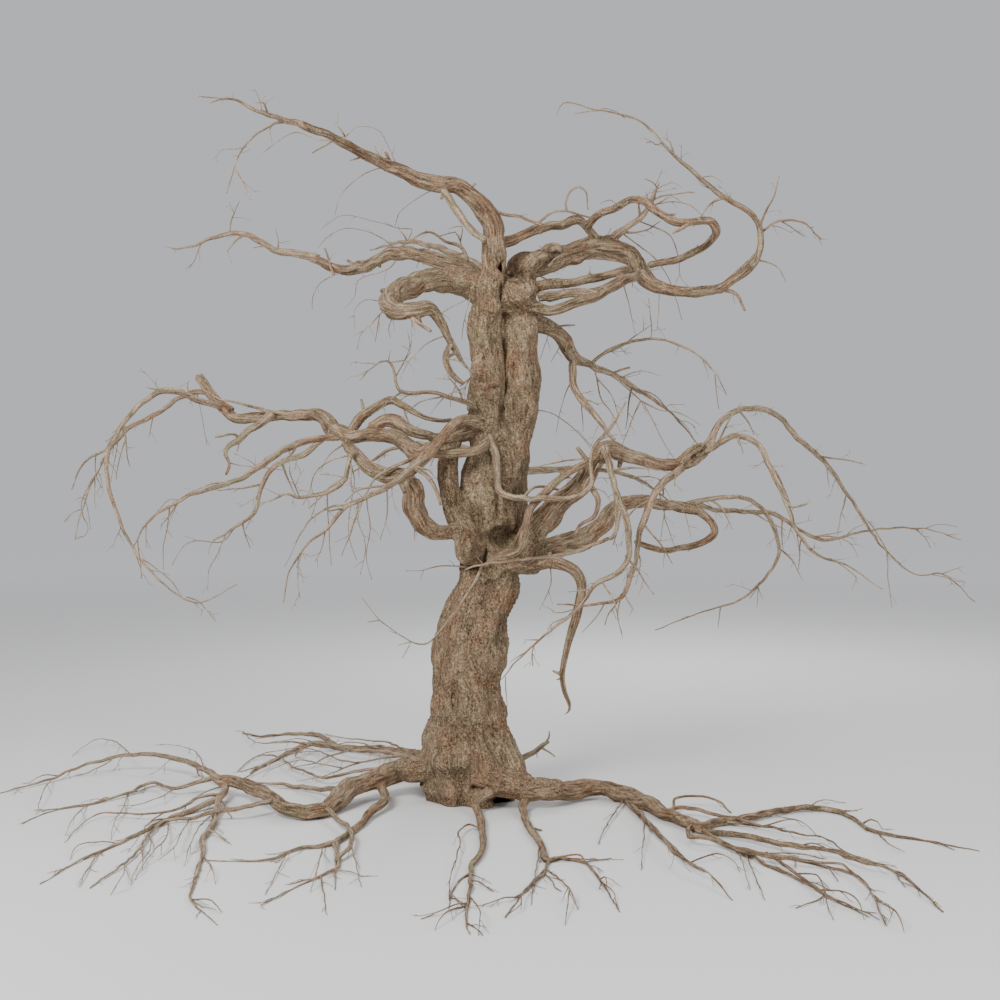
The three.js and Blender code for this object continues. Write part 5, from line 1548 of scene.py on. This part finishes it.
class Twigs:
    """Tubes joined into one piece, each with its own look and grain."""

    def __init__(self, name, on_ground):
        self.name = name
        self.on_ground = on_ground
        self.shapes = []
        self.looks = []
        self.grains = []
        self.heights = []

    def add(self, line, look):
        thick = line.radii[0]
        sides = next(count for least, count in TWIG_SIDES if thick > least)
        angle = np.tile(turns_of(sides), len(line.points))
        radius = np.repeat(line.radii, sides)
        along = np.repeat(line.lengths, sides) + 0.37 * len(self.shapes)
        width = np.maximum(radius, LEAST_GRAIN)
        relief, height = relief_of(angle, width, along)
        shares = 1 + np.clip(relief / width, -0.3, 0.3)
        shape = tube(line, sides, shares.reshape(-1, sides))
        grain = grain_vectors(angle, radius, along)
        self.shapes.append(shape)
        self.grains.append(np.vstack([grain, grain[:1], grain[-1:]]))
        self.heights.append(np.concatenate([height, height[:1], height[-1:]]))
        look = STEM_LOOK if thick > STEM_RADIUS else 1 + look % FINE_LOOKS
        self.looks.append(np.full(len(shape[1]), look, np.int32))

    def grow(self, line, draw, per_metre, reach, thick, twice):
        """Finer twigs by the solids' rule along a stem or a twig, and finest ones on them if twice."""
        style = dict(ROOT_STYLE if self.on_ground else CROWN_STYLE)
        style.update(reach=reach / MM, thickest=thick / MM, wander=0.45)
        source = Line(line.places / MM)
        count = int(per_metre * line.lengths[-1] + draw())
        for i in range(count):
            along = 0.1 + 0.88 * (i + draw()) / count
            places = side_twig(station_at(source, along), i, along * 0.5, style, draw)
            places = np.array(places) * MM
            places[:, 3] = np.linspace(min(thick, line.radii[0] * 0.8), thick * 0.4, len(places))
            twig = Line(smooth(places, reach / 6))
            look = int(draw() * FINE_LOOKS)
            if inside(twig.points, 0):
                self.add(twig, look)
                if twice:
                    self.grow(twig, draw, FINEST_TO_A_METRE, reach * 0.45, thick * 0.65, False)

    def made(self):
        vertices, triangles = joined(self.shapes)
        vertices[:, 2] = np.maximum(vertices[:, 2], 0.0005)
        made = object_of(self.name, vertices, triangles)
        made.data.polygons.foreach_set("material_index", np.concatenate(self.looks))
        keep_grain(made.data, np.vstack(self.grains), np.concatenate(self.heights))
        return made


def whip(text, carriers, on_ground, draw):
    """A whip from the nearest place on its carriers, through its places in the picture."""
    sizes, places = text.split(":")
    first, last = (float(number) * MM for number in sizes.split())
    marks = path_of(places)
    stations = np.vstack([line.places for line in carriers])
    across, down, _ = in_picture(stations)
    root = stations[np.argmin((across - marks[0][0]) ** 2 + (down - marks[0][1]) ** 2)]
    gaps = [math.dist(before[:2], after[:2]) for before, after in itertools.pairwise(marks)]
    shares = np.concatenate([[0], np.cumsum(gaps)]) / sum(gaps)
    swing = (draw() - 0.5) * 0.9 * sum(gaps) * (root[1] - STAND[1]) / FOCAL
    arch = 0.02 + 0.1 * draw()
    points = [root[:3]]
    offset = 0
    for mark, share in zip(marks[1:], shares[1:]):
        radius = first + (last - first) * share
        if on_ground:
            lift = radius + root[2] * max(0, 1 - 2.5 * share) + arch * math.sin(math.pi * share)
            depth = FOCAL * (STAND[2] - lift) / (mark[1] - MIDDLE) + STAND[1]
            depth = min(depth, highest[1] - 0.02)
        elif len(mark) > 2:
            depth = mark[2] / 100
            offset = depth - root[1] - swing * share
        else:
            depth = root[1] + swing * share + offset
        points.append(seen_at(*mark[:2], depth))
    points = [point for point in points if inside(point, 0.02)]
    if len(points) < 2:
        return None
    radii = np.linspace(first, last, len(points))
    step = TWIG_STEP if first > STEM_RADIUS else THIN_WHIP_STEP
    line = Line(smooth(np.column_stack([points, radii]), step))
    return bent(line, 0.006 + first * 0.3, first / MM + shares[1], TWIG_BENDS)


def mass_piece(name, members, on_ground):
    """Masses of twigs as one piece: their stems, side twigs, whips and finer twigs."""
    twigs = Twigs(name, on_ground)
    grown = {}
    for member in members:
        seed = limbs[member]["rule"][0]
        draw = random_numbers(5000 + seed)
        grown[member] = []
        for number, stem in enumerate(curves_of(member, STEM_STEP)):
            stem = bent(stem, 0.01 + 0.3 * stem.radii[-1], seed + number, TWIG_BENDS)
            grown[member].append(stem)
            twigs.add(stem, int(draw() * FINE_LOOKS))
            twigs.grow(stem, draw, *ON_STEMS)
        for number, twig in enumerate(side_twigs[member]):
            if number in LEFT_OUT.get(member, ()):
                continue
            line = bent(curve_of(twig.places, TWIG_STEP), 0.01, draw() * 90, TWIG_BENDS)
            grown[member].append(line)
            twigs.add(line, int(draw() * FINE_LOOKS))
            twigs.grow(line, draw, *ON_SIDE_TWIGS)
    draw = random_numbers(len(name))
    for row in rows_of(WHIPS[name]):
        if row.startswith("on "):
            lines = []
            for carrier in row.split()[1:]:
                lines += grown.get(carrier) or in_metres(carrier)
            continue
        line = whip(row, lines, on_ground, draw)
        if line is not None:
            lines.append(line)
            twigs.add(line, int(draw() * FINE_LOOKS))
            twigs.grow(line, draw, *ON_WHIPS)
    return twigs.made()


def keep(made, nodes, looks):
    """Gives a piece its looks, hangs it on the root body, and hides the solids that it stands for."""
    made.data.materials.clear()
    for look in looks:
        made.data.materials.append(look)
    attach(made, "root")
    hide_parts(*nodes)


keep(trunk_piece(), ["trunk"], [trunk_bark])
for name, (prefix, words, voxel) in WOOD.items():
    members = [prefix + word for word in words.split()]
    slot, look = ("root_bark", root_bark) if prefix == "root_" else ("bough_bark", bough_bark)
    keep(wood_piece(name, members, voxel), members, [look])
for name, (prefix, words) in MASSES.items():
    members = [prefix + word for word in words.split()]
    on_ground = prefix == "rootlets_"
    slot = "rootlet_bark" if on_ground else "twig_bark"
    stem_look = root_bark if name in DARK_STEMS else stem_bark
    keep(mass_piece(name, members, on_ground), members, [stem_look, *twig_looks])

# The floor, its colour near the tree, and from where to where off it turns white; then the sky,
# the lights with their places, radii and powers, and the camera's sensor and furthest sight
FLOOR_RADIUS = 1200
FLOOR_DROP = 0.002
FLOOR_GREY = (0.72, 0.72, 0.71)
FLOOR_FADE = (8, 55)
SKY_COLOUR = (0.95, 0.96, 1.0)
SKY_STRENGTH = 0.6
LIGHTS = {
    "key": ((-7, -11, 12), 3.2, 9600),
    "fill": ((10, -9, 7), 3.5, 2400),
    "rim": ((4, 11, 10), 3.0, 3200),
}
SENSOR = 36
FARTHEST = 3000


def floor_material():
    """Pale, and paler far off, where only the sky's light reaches it, so that no edge shows."""
    made = plain_material("floor_look", FLOOR_GREY, 1.0)
    tree = made.node_tree
    shader = tree.nodes["Principled BSDF"]
    shader.inputs["Specular IOR Level"].default_value = 0
    place = node(tree, "TexCoord", "Object", {})
    length = node(tree, "VectorMath", "Value", {0: place}, operation="LENGTH")
    near, far = FLOOR_FADE
    fade = {"From Min": near, "From Max": far, "Value": length}
    share = node(tree, "MapRange", "Result", fade, interpolation_type="SMOOTHSTEP")
    pales = {"A": (*FLOOR_GREY, 1), "B": (1, 1, 1, 1), "Factor": share}
    tree.links.new(node(tree, "Mix", "Result", pales, data_type="RGBA"), shader.inputs["Base Color"])
    return made


def stage():
    bpy.ops.mesh.primitive_circle_add(vertices=128, radius=FLOOR_RADIUS, fill_type="NGON")
    floor = bpy.context.object
    floor.name = "floor"
    floor.location.z = -FLOOR_DROP
    floor.data.materials.append(floor_material())
    world = bpy.data.worlds.new("studio")
    bpy.context.scene.world = world
    world.use_nodes = True
    sky = world.node_tree.nodes["Background"]
    sky.inputs["Color"].default_value = (*SKY_COLOUR, 1)
    sky.inputs["Strength"].default_value = SKY_STRENGTH


def soft_light(name, at, radius, power):
    """A large ball of light, which leaves no edge on the floor."""
    lamp = bpy.data.lights.new(name, "POINT")
    lamp.shadow_soft_size = radius
    lamp.energy = power
    made = linked(name, lamp)
    made.location = at
    made.visible_camera = False


def camera():
    lens = bpy.data.cameras.new("camera")
    lens.sensor_width = SENSOR
    lens.lens = SENSOR * FOCAL / PICTURE
    lens.clip_end = FARTHEST
    made = linked("camera", lens)
    made.location = STAND
    made.rotation_euler = (math.pi / 2, 0, 0)
    bpy.context.scene.camera = made


stage()
for name, light in LIGHTS.items():
    soft_light(name, *light)
camera()
